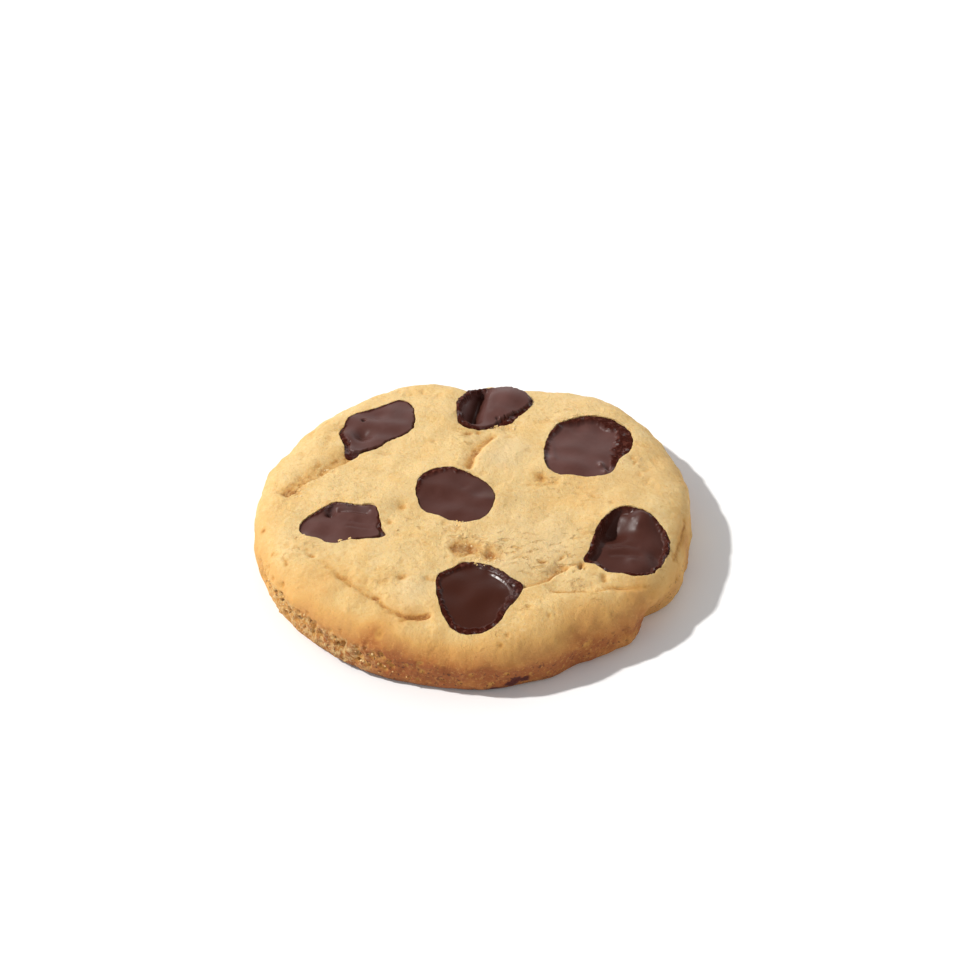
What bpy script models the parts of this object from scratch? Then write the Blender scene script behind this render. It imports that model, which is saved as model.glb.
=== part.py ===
"""A chocolate chunk cookie, 76 mm across: one baked biscuit with seven dark chocolate pieces set in pockets in its top.

The origin is under the middle of the biscuit, on the flat face that it rests on. +Z is up, -Y is the front and +X is
the right. Sizes below are in millimetres and angles in degrees; MM turns them into metres as the meshes are made.
"""

from functools import partial

import bmesh
import bpy
import numpy as np

MM = 0.001

# Driving dimensions of the biscuit
MEAN_RADIUS = 37.0
CROWN_HEIGHT = 12.2
RIM_HEIGHT = 9.6
RIM_LEAN = 0.7
SHOULDER_WIDTH = 6.0
SIDE_TOP = 5.8
SIDE_BOTTOM = 2.2
FOOT_TUCK = 1.5
SHOULDER_FULLNESS = 2.2

# The biscuit's outline seen from above, and where its middle lies. A wave is (crests round the edge, height, angle of
# a crest); a bump is (angle, half width, height), below 0 for a dent.
BISCUIT_MIDDLE = (0.22, -0.05)
BISCUIT_WAVES = ((2, 0.76, -14), (3, 0.12, 27), (4, 0.59, 28), (5, 0.31, 32))
BISCUIT_BUMPS = (
    (-75, 6.5, -0.9),
    (-62, 7.0, -0.9),
    (-56, 12.0, -1.4),
    (-48, 17.0, -1.3),
    (-33.5, 6.0, -0.9),
    (-17, 12.0, -0.3),
    (53, 16.0, 2.6),
    (92, 4.7, -1.7),
    (161, 4.8, 0.7),
)

# Where the rim stands higher, and where the side is undercut below the shoulder: (angle, half width, height or depth)
RIM_SWELLS = ((-10, 24, 0.9), (42, 14, 0.4))
UNDERCUTS = ((-33.5, 6.5, 2.0),)
UNDERCUT_TOP = 6.4
UNDERCUT_BOTTOM = 1.2

# How many faces each body's grid has along a side; half as many rings lie between its middle and its foot
BISCUIT_CELLS = 54
CHOCOLATE_CELLS = 16

# Where along the biscuit's rings the top ends, the shoulder ends and the side ends, 1 being the foot
TOP_SHARE = 0.62
SHOULDER_SHARE = 0.83
SIDE_SHARE = 0.92

# Unevenness of the baked dough: (wavelength, height) of each field of soft lumps
TOP_LUMPS = ((15.0, 0.22), (6.5, 0.10))
SIDE_LUMPS = ((11.0, 0.10), (5.0, 0.10))
LUMP_WAVES = 9
SEED = 11

# Folds and cracks in the top: three points along each, the valley's depth and half width, and the step, which is how
# much higher the dough stands on the left of a walk from the first point to the last
FOLDS = (
    dict(path=((-32.6, 2.0), (-26.6, 7.4), (-20.6, 12.0)), depth=0.90, width=1.2, step=0.8),
    dict(path=((-1.2, 6.8), (1.6, 12.7), (6.4, 19.4)), depth=0.70, width=0.9, step=0.4),
    dict(path=((7.6, -22.5), (11.8, -20.2), (16.0, -16.5)), depth=0.60, width=0.8, step=0.2),
    dict(path=((13.0, -22.6), (21.5, -21.9), (29.4, -18.7)), depth=0.45, width=0.9, step=0.2),
    dict(path=((-6.8, -28.1), (-15.0, -25.3), (-25.5, -15.2)), depth=0.65, width=0.9, step=-0.4),
    dict(path=((33.1, -13.0), (35.0, -8.0), (36.8, -1.2)), depth=0.60, width=0.7, step=-0.3),
)
STEP_REACH = 5.0
FOLD_END_SHARE = 0.15

# Broad swellings and hollows, and the larger pits: (x, y, half width, height)
SWELLS = (
    (-9.5, -23.8, 4.5, 0.45),
    (9.0, -9.5, 8.0, -0.45),
    (-27.0, 12.8, 5.0, 0.35),
    (12.0, -28.0, 6.0, 0.30),
    (26.0, 25.0, 6.0, 0.35),
    (-12.0, 9.5, 7.0, 0.25),
    (-24.0, -20.5, 5.0, 0.30),
)
PITS = (
    (-1.8, -12.6, 1.7, -0.75),
    (2.5, -14.2, 1.4, -0.50),
    (-12.2, -2.4, 1.0, -0.45),
    (-11.9, -20.0, 1.0, -0.40),
    (11.3, 4.9, 1.2, -0.35),
    (13.0, -15.2, 1.2, -0.40),
    (0.0, 17.3, 1.2, -0.30),
    (-31.3, 3.8, 1.4, -0.50),
)

# Gap between a chocolate piece and its pocket, how deep the pieces go, how far their walls lean in and the
# rounding of their edges
POCKET_GAP = 0.3
CHOCOLATE_DEPTH = 4.2
WALL_TAPER = 1.4
EDGE_ROUND = 0.5
FOOT_ROUND = 0.6
POCKET_TOP = 16.0

# Where along a piece's rings its top ends, its wall starts and its wall ends, 1 being the bottom
CHOCOLATE_STATIONS = (5 / 8, 6 / 8, 7 / 8)

# The seven pieces. corners are points of the outline, as (angle, distance from the centre) in turn round the piece;
# proud is how far the top stands above the dough, rim how far its edge rises above its middle, and forms are hollows
# and ridges as (x, y, half width, height) measured from the centre.
CHOCOLATES = {
    "chocolate_back_left": dict(
        centre=(-17.0, 20.2),
        corners=(
            (20, 7.0), (60, 9.1), (88, 6.3), (115, 5.7), (143, 6.1), (167, 6.0), (200, 7.1),
            (224, 8.0), (241, 10.0), (258, 8.0), (285, 5.8), (308, 5.2), (345, 6.4),
        ),
        proud=-0.3,
        rim=-0.2,
        forms=((-2.6, -2.4, 1.8, -1.1), (0.3, 3.6, 1.6, -0.3), (2.8, 3.6, 1.8, 0.25)),
    ),
    "chocolate_back_middle": dict(
        centre=(3.5, 25.6),
        corners=(
            (20, 7.2), (48, 7.0), (75, 6.6), (110, 6.2), (150, 5.9), (180, 6.4), (205, 7.2),
            (228, 8.4), (250, 7.9), (268, 6.6), (282, 5.6), (300, 5.6), (330, 5.3), (355, 6.1),
        ),
        proud=0.3,
        rim=0.0,
        forms=((-2.2, 3.8, 2.0, -1.3), (-3.1, -0.6, 2.0, -1.6), (-4.0, -4.6, 1.8, -1.3), (3.2, 4.0, 4.2, 1.2)),
    ),
    "chocolate_back_right": dict(
        centre=(19.6, 14.0),
        corners=(
            (20, 8.8), (50, 9.7), (90, 8.5), (120, 8.0), (165, 7.2), (195, 7.7),
            (228, 9.7), (255, 8.7), (295, 8.3), (328, 6.5), (360, 7.9),
        ),
        proud=-0.2,
        rim=0.45,
        forms=((-2.7, -1.9, 3.4, 0.3), (4.6, 2.6, 2.6, -0.5), (-1.0, 6.0, 1.6, -0.3)),
    ),
    "chocolate_middle": dict(
        centre=(-3.05, 0.3),
        corners=(
            (20, 6.4), (50, 5.8), (82, 6.2), (118, 7.3), (145, 7.6), (185, 6.7), (210, 6.6),
            (235, 5.9), (260, 6.3), (298, 7.7), (335, 7.1), (360, 6.75),
        ),
        proud=-0.2,
        rim=0.1,
        forms=((3.7, 0.4, 1.4, -0.25), (5.2, -1.6, 1.4, 0.2)),
    ),
    "chocolate_left": dict(
        centre=(-21.9, -6.1),
        corners=(
            (15, 6.1), (36, 6.1), (54, 4.6), (70, 4.2), (90, 4.6), (108, 5.4), (128, 5.6), (165, 7.2), (190, 7.7),
            (218, 5.4), (235, 5.5), (255, 5.2), (280, 4.4), (310, 5.4), (334, 7.95), (350, 6.6),
        ),
        proud=-0.25,
        rim=0.1,
        forms=((-2.4, 3.0, 1.2, -0.9), (1.5, 0.8, 1.4, 0.15)),
    ),
    "chocolate_right": dict(
        centre=(26.2, -10.5),
        corners=(
            (10, 7.0), (35, 7.1), (60, 7.5), (90, 8.1), (120, 7.0), (150, 6.3), (180, 6.2), (200, 7.6), (211, 9.2),
            (222, 8.1), (240, 8.1), (258, 7.6), (290, 7.6), (320, 6.9), (345, 6.6),
        ),
        proud=-0.2,
        rim=1.1,
        forms=((-3.0, 3.8, 2.2, -1.6), (2.7, 6.1, 2.6, 1.2), (0.3, -0.9, 2.0, 0.25), (4.3, -1.8, 1.4, -0.5)),
    ),
    "chocolate_front": dict(
        centre=(0.1, -24.1),
        corners=(
            (17, 8.4), (35, 7.4), (75, 7.45), (103, 8.2), (120, 7.65), (140, 7.7), (165, 6.65), (192, 6.15),
            (218, 6.7), (245, 7.9), (264, 8.1), (290, 7.7), (325, 6.35), (350, 6.8),
        ),
        proud=-0.15,
        rim=0.4,
        forms=((-0.6, -0.8, 3.5, -0.15), (4.9, 3.2, 1.2, 0.25)),
    ),
}

# Colours as linear red, green and blue, with each finish's roughness
DOUGH_COLOUR = (0.78, 0.53, 0.25, 1.0)
DOUGH_ROUGHNESS = 0.85
CHOCOLATE_COLOUR = (0.075, 0.032, 0.022, 1.0)
CHOCOLATE_ROUGHNESS = 0.40
SHARP_ANGLE = 50


def clear_scene():
    for obj in list(bpy.data.objects):
        bpy.data.objects.remove(obj, do_unlink=True)


def new_collection(name):
    collection = bpy.data.collections.new(name)
    bpy.context.scene.collection.children.link(collection)
    return collection


def plain_material(name, colour, roughness):
    """A matt or satin food surface of one colour, with no metallic shine."""
    material = bpy.data.materials.new(name)
    material.use_nodes = True
    shader = material.node_tree.nodes["Principled BSDF"]
    shader.inputs["Base Color"].default_value = colour
    shader.inputs["Roughness"].default_value = roughness
    shader.inputs["Metallic"].default_value = 0.0
    material.diffuse_color = colour
    return material


def bell(distance, half_width):
    """A smooth bump, 1 where the distance is 0 and fading to nothing about two half widths away."""
    return np.exp(-((distance / half_width) ** 2))


def ease(share):
    """0 at or below 0, 1 at or above 1, and an S-shaped curve between."""
    share = np.clip(share, 0, 1)
    return share * share * (3 - 2 * share)


def round_bells(angle, listed):
    """The sum of bumps and dents round the edge, each given as (angle, half width in degrees, height)."""
    total = np.zeros_like(angle)
    for bump_angle, half_width, height in listed:
        turn = (angle - np.radians(bump_angle) + np.pi) % (2 * np.pi) - np.pi
        total += height * bell(np.degrees(turn), half_width)
    return total


def biscuit_radius(angle):
    """The biscuit's radius at each angle: the mean, cosine waves round the edge, and local bumps and dents."""
    radius = np.full_like(angle, MEAN_RADIUS)
    for crests, height, crest_angle in BISCUIT_WAVES:
        radius += height * np.cos(crests * (angle - np.radians(crest_angle)))
    return radius + round_bells(angle, BISCUIT_BUMPS)


def chocolate_radius(angle, piece):
    """A piece's radius at each angle: a cubic from each corner to the next, with the mean slope there at each."""
    turns, reaches = np.array(piece["corners"]).T
    gaps = np.diff(np.append(turns, turns[0] + 360))
    slopes = (np.roll(reaches, -1) - np.roll(reaches, 1)) / (gaps + np.roll(gaps, 1))
    turn = (np.degrees(angle) - turns[0]) % 360 + turns[0]
    corner = np.clip(np.searchsorted(turns, turn, side="right") - 1, 0, len(turns) - 1)
    after = (corner + 1) % len(turns)
    gap = gaps[corner]
    share = (turn - turns[corner]) / gap
    leaving = reaches[corner] * (1 + 2 * share) * (1 - share) ** 2 + slopes[corner] * gap * share * (1 - share) ** 2
    arriving = reaches[after] * share**2 * (3 - 2 * share) - slopes[after] * gap * share**2 * (1 - share)
    return leaving + arriving


def spots(x, y, listed):
    """The sum of round bumps and hollows, each given as (x, y, half width, height)."""
    total = np.zeros_like(x)
    for spot_x, spot_y, half_width, height in listed:
        total += height * bell(np.hypot(x - spot_x, y - spot_y), half_width)
    return total


def lumps(x, y, fields, seed):
    """Soft unevenness: for each field, plane waves of about its wavelength in random directions, added together."""
    chance = np.random.default_rng(seed)
    total = np.zeros_like(x)
    for wavelength, height in fields:
        for _ in range(LUMP_WAVES):
            heading = chance.uniform(0, 2 * np.pi)
            phase = chance.uniform(0, 2 * np.pi)
            length = wavelength * chance.uniform(0.7, 1.5)
            along = x * np.cos(heading) + y * np.sin(heading)
            total += height * np.sqrt(2 / LUMP_WAVES) * np.sin(2 * np.pi * along / length + phase)
    return total


def fold_relief(x, y, path, depth, width, step):
    """A crack along the curve through three points: a valley on the line, and a step up that fades to the left."""
    start, middle, end = (np.array(point) for point in path)
    control = 2 * middle - (start + end) / 2
    share = np.linspace(0, 1, 25)[:, None]
    line = (1 - share) ** 2 * start + 2 * share * (1 - share) * control + share**2 * end
    gap_x = x[:, None] - line[:, 0]
    gap_y = y[:, None] - line[:, 1]
    nearest = np.argmin(gap_x**2 + gap_y**2, axis=1)
    rows = np.arange(len(x))
    gap_x = gap_x[rows, nearest]
    gap_y = gap_y[rows, nearest]
    heading = np.gradient(line, axis=0)[nearest]
    side = np.sign(heading[:, 0] * gap_y - heading[:, 1] * gap_x)
    distance = np.hypot(gap_x, gap_y)
    along = nearest / (len(line) - 1)
    presence = ease(along / FOLD_END_SHARE) * ease((1 - along) / FOLD_END_SHARE)
    valley = -depth * bell(distance, width) * presence
    beyond_end = (nearest == 0) | (nearest == len(line) - 1)
    raised = step * ease(side * distance / (2 * width) + 0.5) * bell(np.maximum(side * distance, 0), STEP_REACH)
    return valley + np.where(beyond_end, 0, raised * presence)


def dome_height(x, y):
    """The smooth top without its relief: a dome from the rim to the crown that rounds over the shoulder."""
    x = x - BISCUIT_MIDDLE[0]
    y = y - BISCUIT_MIDDLE[1]
    angle = np.arctan2(y, x)
    edge = biscuit_radius(angle)
    reach = np.hypot(x, y)
    rim = RIM_HEIGHT - RIM_LEAN * np.sin(angle) + round_bells(angle, RIM_SWELLS)
    dome = rim + (CROWN_HEIGHT - rim) * (1 - (reach / edge) ** 2)
    over_shoulder = np.clip(1 - (edge - reach) / SHOULDER_WIDTH, 0, 1)
    drop = 1 - np.sqrt(1 - over_shoulder**SHOULDER_FULLNESS)
    return dome - (dome - SIDE_TOP) * drop


def top_relief(x, y):
    """Everything that stands above or below the smooth dome: lumps, swellings, pits and folds."""
    relief = lumps(x, y, TOP_LUMPS, SEED) + spots(x, y, SWELLS) + spots(x, y, PITS)
    for fold in FOLDS:
        relief += fold_relief(x, y, **fold)
    return relief


def square_to_disc(across, along):
    """Bends a square of side 2 to a disc: the rings are squares of equal reach, turned into circles."""
    ring = np.maximum(np.abs(across), np.abs(along))
    wide = np.abs(across) >= np.abs(along)
    longer = np.where(wide, across, along)
    shorter = np.where(wide, along, across)
    lean = np.pi / 4 * shorter / np.where(longer == 0, 1, longer)
    angle = np.where(wide, lean, np.pi / 2 - lean) + np.where(longer < 0, np.pi, 0)
    return ring, angle


def disc_body(name, cells, place, material, collection):
    """A closed body from one square grid of faces bent to a disc, whose rings run over the top and down the side.

    place(ring, angle) gives every point in millimetres, with ring 0 in the middle of the top and 1 at the foot,
    and one flat face closes the bottom.
    """
    bm = bmesh.new()
    bmesh.ops.create_grid(bm, x_segments=cells, y_segments=cells, size=1)
    corners = np.array([vert.co for vert in bm.verts])
    ring, angle = square_to_disc(corners[:, 0], corners[:, 1])
    for vert, point in zip(bm.verts, place(ring, angle) * MM):
        vert.co = point
    foot = [edge for edge in bm.edges if edge.is_boundary]
    bmesh.ops.edgeloop_fill(bm, edges=foot)
    bmesh.ops.recalc_face_normals(bm, faces=bm.faces)
    mesh = bpy.data.meshes.new(name)
    bm.to_mesh(mesh)
    bm.free()
    mesh.shade_smooth()
    mesh.set_sharp_from_angle(angle=np.radians(SHARP_ANGLE))
    body = bpy.data.objects.new(name, mesh)
    body.data.materials.append(material)
    collection.objects.link(body)
    return body


def biscuit_points(ring, angle):
    """Points of the biscuit: out over the dome, round the shoulder, down the side and in under the foot.

    The shoulder and the foot are walked by a turn from 0 to 90 degrees, so their rings lie evenly along the curve.
    """
    edge = biscuit_radius(angle)
    shoulder_turn = np.pi / 2 * np.clip((ring - TOP_SHARE) / (SHOULDER_SHARE - TOP_SHARE), 0, 1)
    side_share = np.clip((ring - SHOULDER_SHARE) / (SIDE_SHARE - SHOULDER_SHARE), 0, 1)
    foot_turn = np.pi / 2 * np.clip((ring - SIDE_SHARE) / (1 - SIDE_SHARE), 0, 1)
    on_top = (edge - SHOULDER_WIDTH) * np.minimum(ring / TOP_SHARE, 1)
    reach = on_top + SHOULDER_WIDTH * np.sin(shoulder_turn)
    x = BISCUIT_MIDDLE[0] + reach * np.cos(angle)
    y = BISCUIT_MIDDLE[1] + reach * np.sin(angle)
    facing_up = np.cos(shoulder_turn)
    height = dome_height(x, y) + facing_up * top_relief(x, y)
    height -= side_share * (SIDE_TOP - SIDE_BOTTOM)
    height -= SIDE_BOTTOM * np.sin(foot_turn)
    height[ring > 1 - 1e-6] = 0
    facing_out = np.sin(shoulder_turn) * np.cos(foot_turn)
    push = facing_out * lumps(edge * angle, height, SIDE_LUMPS, SEED + 1) - FOOT_TUCK * (1 - np.cos(foot_turn))
    push -= round_bells(angle, UNDERCUTS) * ease((UNDERCUT_TOP - height) / (UNDERCUT_TOP - UNDERCUT_BOTTOM))
    x += push * np.cos(angle)
    y += push * np.sin(angle)
    return np.column_stack((x, y, height))


def chocolate_top(x, y, edge_share, piece):
    """Height of a piece's top: it follows the dough, then takes its own rim, hollows and ridges."""
    around = dome_height(x, y)
    own = spots(x - piece["centre"][0], y - piece["centre"][1], piece["forms"])
    return around + piece["proud"] + piece["rim"] * (edge_share**2 - 1) + own


def chocolate_bottom(piece):
    """Height of a piece's flat bottom, measured down from the dough at its centre."""
    centre_x, centre_y = (np.array([value]) for value in piece["centre"])
    return float(dome_height(centre_x, centre_y)[0]) - CHOCOLATE_DEPTH


def chocolate_points(ring, angle, piece):
    """Points of one piece: its top out to the edge, a rounded edge, a wall that leans in and a rounded foot."""
    top_end, wall_start, wall_end = CHOCOLATE_STATIONS
    edge = chocolate_radius(angle, piece)
    insets = (EDGE_ROUND, 0, WALL_TAPER, WALL_TAPER + FOOT_ROUND)
    inset = np.interp(ring, (top_end, wall_start, wall_end, 1), insets)
    reach = np.minimum(ring / top_end, 1) * (edge - inset)
    x = piece["centre"][0] + reach * np.cos(angle)
    y = piece["centre"][1] + reach * np.sin(angle)
    rounded = EDGE_ROUND * np.clip((ring - top_end) / (wall_start - top_end), 0, 1)
    top = chocolate_top(x, y, reach / edge, piece) - rounded
    down = np.interp(ring, (wall_start, wall_end, 1), (0, 1 - FOOT_ROUND / CHOCOLATE_DEPTH, 1))
    height = top + (chocolate_bottom(piece) - top) * down
    return np.column_stack((x, y, height))


def pocket_points(ring, angle, piece):
    """A plug larger than the piece by the gap, from the pocket's floor up its leaning wall to clear of the dough."""
    top_end, wall_start, _ = CHOCOLATE_STATIONS
    edge = chocolate_radius(angle, piece) + POCKET_GAP
    down = np.clip((ring - wall_start) / (1 - wall_start), 0, 1)
    reach = np.minimum(ring / top_end, 1) * (edge - WALL_TAPER * down)
    x = piece["centre"][0] + reach * np.cos(angle)
    y = piece["centre"][1] + reach * np.sin(angle)
    mouth = chocolate_top(x, y, reach / edge, piece) - EDGE_ROUND
    floor = chocolate_bottom(piece) - POCKET_GAP
    height = np.where(ring < wall_start - 1e-6, POCKET_TOP, mouth)
    height = height + (floor - height) * down
    return np.column_stack((x, y, height))


def add_biscuit(collection, cutters):
    dough = plain_material("baked_dough", DOUGH_COLOUR, DOUGH_ROUGHNESS)
    biscuit = disc_body("biscuit", BISCUIT_CELLS, biscuit_points, dough, collection)
    pockets = biscuit.modifiers.new("pockets", "BOOLEAN")
    pockets.operation = "DIFFERENCE"
    pockets.operand_type = "COLLECTION"
    pockets.collection = cutters
    pockets.solver = "EXACT"


def add_chocolates(collection, cutters):
    chocolate = plain_material("dark_chocolate", CHOCOLATE_COLOUR, CHOCOLATE_ROUGHNESS)
    for name, piece in CHOCOLATES.items():
        place = partial(chocolate_points, piece=piece)
        disc_body(name, CHOCOLATE_CELLS, place, chocolate, collection)
        pocket_place = partial(pocket_points, piece=piece)
        pocket_name = name.replace("chocolate", "pocket")
        pocket = disc_body(pocket_name, CHOCOLATE_CELLS, pocket_place, chocolate, cutters)
        pocket.hide_render = True
        pocket.display_type = "WIRE"


def main():
    clear_scene()
    cookie = new_collection("chocolate_cookie")
    cutters = new_collection("pocket_cutters")
    add_chocolates(cookie, cutters)
    add_biscuit(cookie, cutters)


main()
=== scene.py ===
"""Looks of the chocolate cookie: a baked biscuit, seven dark chocolate pieces, loose crumbs and a white table.

Sizes are in millimetres and angles in degrees, as in the part's source, and MM turns them into metres as meshes
are made. Only the materials' noise and relief and the table are given in metres.
"""

import bpy
import numpy as np
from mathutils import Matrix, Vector


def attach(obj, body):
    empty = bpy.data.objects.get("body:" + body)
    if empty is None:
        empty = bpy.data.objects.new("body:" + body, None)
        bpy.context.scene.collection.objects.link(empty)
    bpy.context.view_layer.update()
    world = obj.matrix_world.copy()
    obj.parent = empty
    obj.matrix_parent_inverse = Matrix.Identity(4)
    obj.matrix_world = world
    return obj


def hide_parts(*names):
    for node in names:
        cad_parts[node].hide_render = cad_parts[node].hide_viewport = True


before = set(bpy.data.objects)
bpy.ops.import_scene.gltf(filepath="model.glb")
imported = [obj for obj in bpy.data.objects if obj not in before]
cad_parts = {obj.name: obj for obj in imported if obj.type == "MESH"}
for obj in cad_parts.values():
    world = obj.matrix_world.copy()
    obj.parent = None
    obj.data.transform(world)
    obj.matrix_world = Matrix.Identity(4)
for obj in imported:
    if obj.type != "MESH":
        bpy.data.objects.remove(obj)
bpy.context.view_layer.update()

MM = 0.001

# Driving dimensions of the biscuit
MEAN_RADIUS = 37.0
CROWN_HEIGHT = 12.2
RIM_HEIGHT = 9.6
RIM_LEAN = 0.7
RIM_SWELLS = ((-10, 24, 0.9), (42, 14, 0.4))
SHOULDER_WIDTH = 6.0
SIDE_TOP = 5.8
SIDE_BOTTOM = 2.2
FOOT_TUCK = 1.5
SHOULDER_FULLNESS = 2.2
BISCUIT_MIDDLE = (0.22, -0.05)
BISCUIT_WAVES = ((2, 0.76, -14), (3, 0.12, 27), (4, 0.59, 28), (5, 0.31, 32))
BISCUIT_BUMPS = (
    (-75, 6.5, -0.9), (-62, 7.0, -0.9), (-56, 12.0, -1.4), (-48, 17.0, -1.3), (-33.5, 6.0, -0.9),
    (-17, 12.0, -0.3), (53, 16.0, 2.6), (92, 4.7, -1.7), (161, 4.8, 0.7),
)
# Where the side is undercut below its shoulder: (angle, half width, depth at the foot)
UNDERCUTS = ((-33.5, 6.5, 1.7), (-82.0, 30.0, 0.45))
UNDERCUT_TOP = 6.4
UNDERCUT_BOTTOM = 1.2

# The biscuit's surface: faces along each side of its square, and the rings that close its underside
BISCUIT_CELLS = 300
UNDERSIDE_RINGS = 5
TOP_SHARE = 0.67
SHOULDER_SHARE = 0.855
SIDE_SHARE = 0.935

# Soft unevenness that the solids have too: (wavelength, height)
TOP_LUMPS = ((15.0, 0.22), (6.5, 0.10))
SIDE_LUMPS = ((11.0, 0.10), (5.0, 0.10))
LUMP_WAVES = 9
LUMP_STRETCH = (0.7, 1.5)
LUMP_SEED = 11
SWELLS = (
    (-9.5, -23.8, 4.5, 0.45), (9.0, -9.5, 8.0, -0.45), (-27.0, 12.8, 5.0, 0.35), (12.0, -28.0, 6.0, 0.30),
    (26.0, 25.0, 6.0, 0.35), (-12.0, 9.5, 7.0, 0.25), (-24.0, -20.5, 5.0, 0.30),
)

# Folds and cracks. Walking the path, the valley eases up over the first width on the left and the second on
# the right, and the left stands higher by the step. It is darkened this much by painted shade, with some
# browning, over the shade's reach on the left, and its line wanders by this much.
FOLDS = (
    dict(
        path=((-32.8, 1.6), (-31.0, 3.4), (-27.1, 7.0), (-24.0, 9.4), (-21.2, 11.5), (-19.6, 12.9)),
        depth=1.15, widths=(3.0, 0.45), step=0.25, crease_shade=0.42, shade_reach=2.2, wander=0.7,
    ),
    dict(
        path=((-1.3, 6.4), (-0.5, 8.2), (0.5, 11.2), (2.2, 14.6), (4.4, 17.6)),
        depth=0.75, widths=(1.7, 0.60), step=0.1, crease_shade=0.85, shade_reach=1.25, wander=0.35,
    ),
    dict(
        path=((7.0, -22.8), (9.6, -21.3), (12.0, -20.0), (13.5, -18.4), (16.4, -16.2)),
        depth=0.95, widths=(2.2, 0.35), step=-0.2, crease_shade=0.95, shade_reach=0.55, wander=0.4,
    ),
    dict(
        path=((11.7, -23.1), (14.2, -22.6), (17.0, -22.4), (21.5, -21.9), (26.0, -20.4), (29.8, -18.6)),
        depth=0.60, widths=(2.0, 0.5), step=-0.1, crease_shade=0.65, shade_reach=0.55, wander=0.7,
    ),
    dict(
        path=((-6.4, -27.9), (-8.8, -28.3), (-12.0, -27.6), (-14.7, -25.5), (-19.9, -20.7), (-26.0, -14.9)),
        depth=0.80, widths=(0.5, 1.3), step=-0.3, crease_shade=0.9, shade_reach=0.5, wander=0.9,
    ),
    dict(
        path=((33.6, -13.4), (34.2, -10.6), (35.2, -6.6), (36.0, -3.4), (36.3, -1.0)),
        depth=0.95, widths=(0.4, 0.7), step=-0.2, crease_shade=0.9, shade_reach=0.35, wander=0.3,
    ),
    dict(
        path=((17.9, -17.4), (18.0, -16.3), (18.2, -15.2)),
        depth=0.9, widths=(0.45, 0.45), step=0.0, crease_shade=1.0, shade_reach=0.4, wander=0.5,
    ),
    dict(
        path=((21.6, -20.2), (21.5, -18.9), (21.6, -17.8)),
        depth=0.6, widths=(0.5, 0.5), step=0.2, crease_shade=0.8, shade_reach=0.4, wander=0.5,
    ),
    dict(
        path=((-12.5, -29.2), (-10.0, -28.6), (-8.0, -28.5), (-6.8, -28.2)),
        depth=0.35, widths=(0.6, 0.5), step=0.0, crease_shade=0.8, shade_reach=0.7, wander=0.6,
    ),
)
# Short slits in the dough: (x, y, length, turn in degrees, how dark, by painted shade with some browning)
SLITS = (
    (7.3, -15.1, 2.4, 28, 0.6), (11.5, -15.9, 1.9, 12, 1.0), (14.7, -14.8, 1.5, 47, 0.8),
    (16.7, -16.1, 1.2, 22, 0.9), (-0.9, 17.4, 1.8, 25, 0.9), (-2.4, 18.6, 1.6, -20, 0.6),
    (-31.8, -13.6, 1.6, -65, 0.6), (-27.8, -12.2, 1.4, -50, 0.5), (12.4, 3.4, 1.6, 20, 0.5),
    (27.9, 10.4, 1.6, 65, 0.6), (19.9, -18.5, 1.7, 40, 0.5), (-17.4, -22.0, 1.6, -40, 0.5),
)
SLIT_WIDTH = 0.24
SLIT_DEPTH = 0.30
# Where the dough has fine wrinkles: (x, y, half width, strength)
WRINKLED = (
    (11.5, -15.0, 4.5, 1.0), (6.0, -12.6, 4.0, 0.9), (16.5, -9.5, 3.0, 0.7), (17.5, -17.0, 3.0, 0.9),
    (-1.0, 16.0, 2.8, 0.9), (3.6, 19.4, 2.2, 0.8), (-13.5, -21.0, 3.5, 0.6), (-10.0, -8.0, 3.5, 0.7),
    (12.4, 3.8, 3.0, 0.7), (18.0, 1.0, 3.0, 0.6), (-29.0, -11.5, 3.0, 0.6), (16.0, 22.6, 4.0, 0.6),
    (-31.2, 3.0, 2.2, 0.9), (-25.5, 8.6, 2.4, 0.6), (8.0, -27.0, 3.5, 0.5), (20.0, -23.0, 4.0, 0.6),
    (-1.4, -11.5, 3.5, 0.8), (-22.0, 2.0, 5.0, 0.4), (2.0, -33.0, 4.0, 0.5), (28.0, 9.0, 3.0, 0.5),
)
WRINKLE_TURN = 20.0
WRINKLE_STRETCH = 2.1

# Folds in detail: the points along a path and how far from it a fold reaches, then how it fades, how far its
# painted shade reaches on the right, and how it wanders
PATH_POINTS = 80
PATH_REACH = 12.0
FAR_AWAY = 99.0
FOLD_ENDS = 0.15
STEP_FADE = 5.0
SHADE_REACH_RIGHT = 0.4
WANDER_GRAIN = ((0.35, 1.6, 61), (0.22, 0.7, 62))
DEPTH_GRAIN = (1.9, 63)
DEPTH_VARIES = 0.45
DEPTH_BIAS = 0.3

# Edges that turn by more than this are shaded as creases
CRISP_ANGLE = 52.0

# Random grain: how many values it picks from, and a large prime for each direction that mixes them up.
# Grains everywhere below are layers of it, given as (height, width of a cube, seed).
GRAIN_TABLE = 4096
GRAIN_STRIDES = (73856093, 19349663, 83492791)
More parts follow.
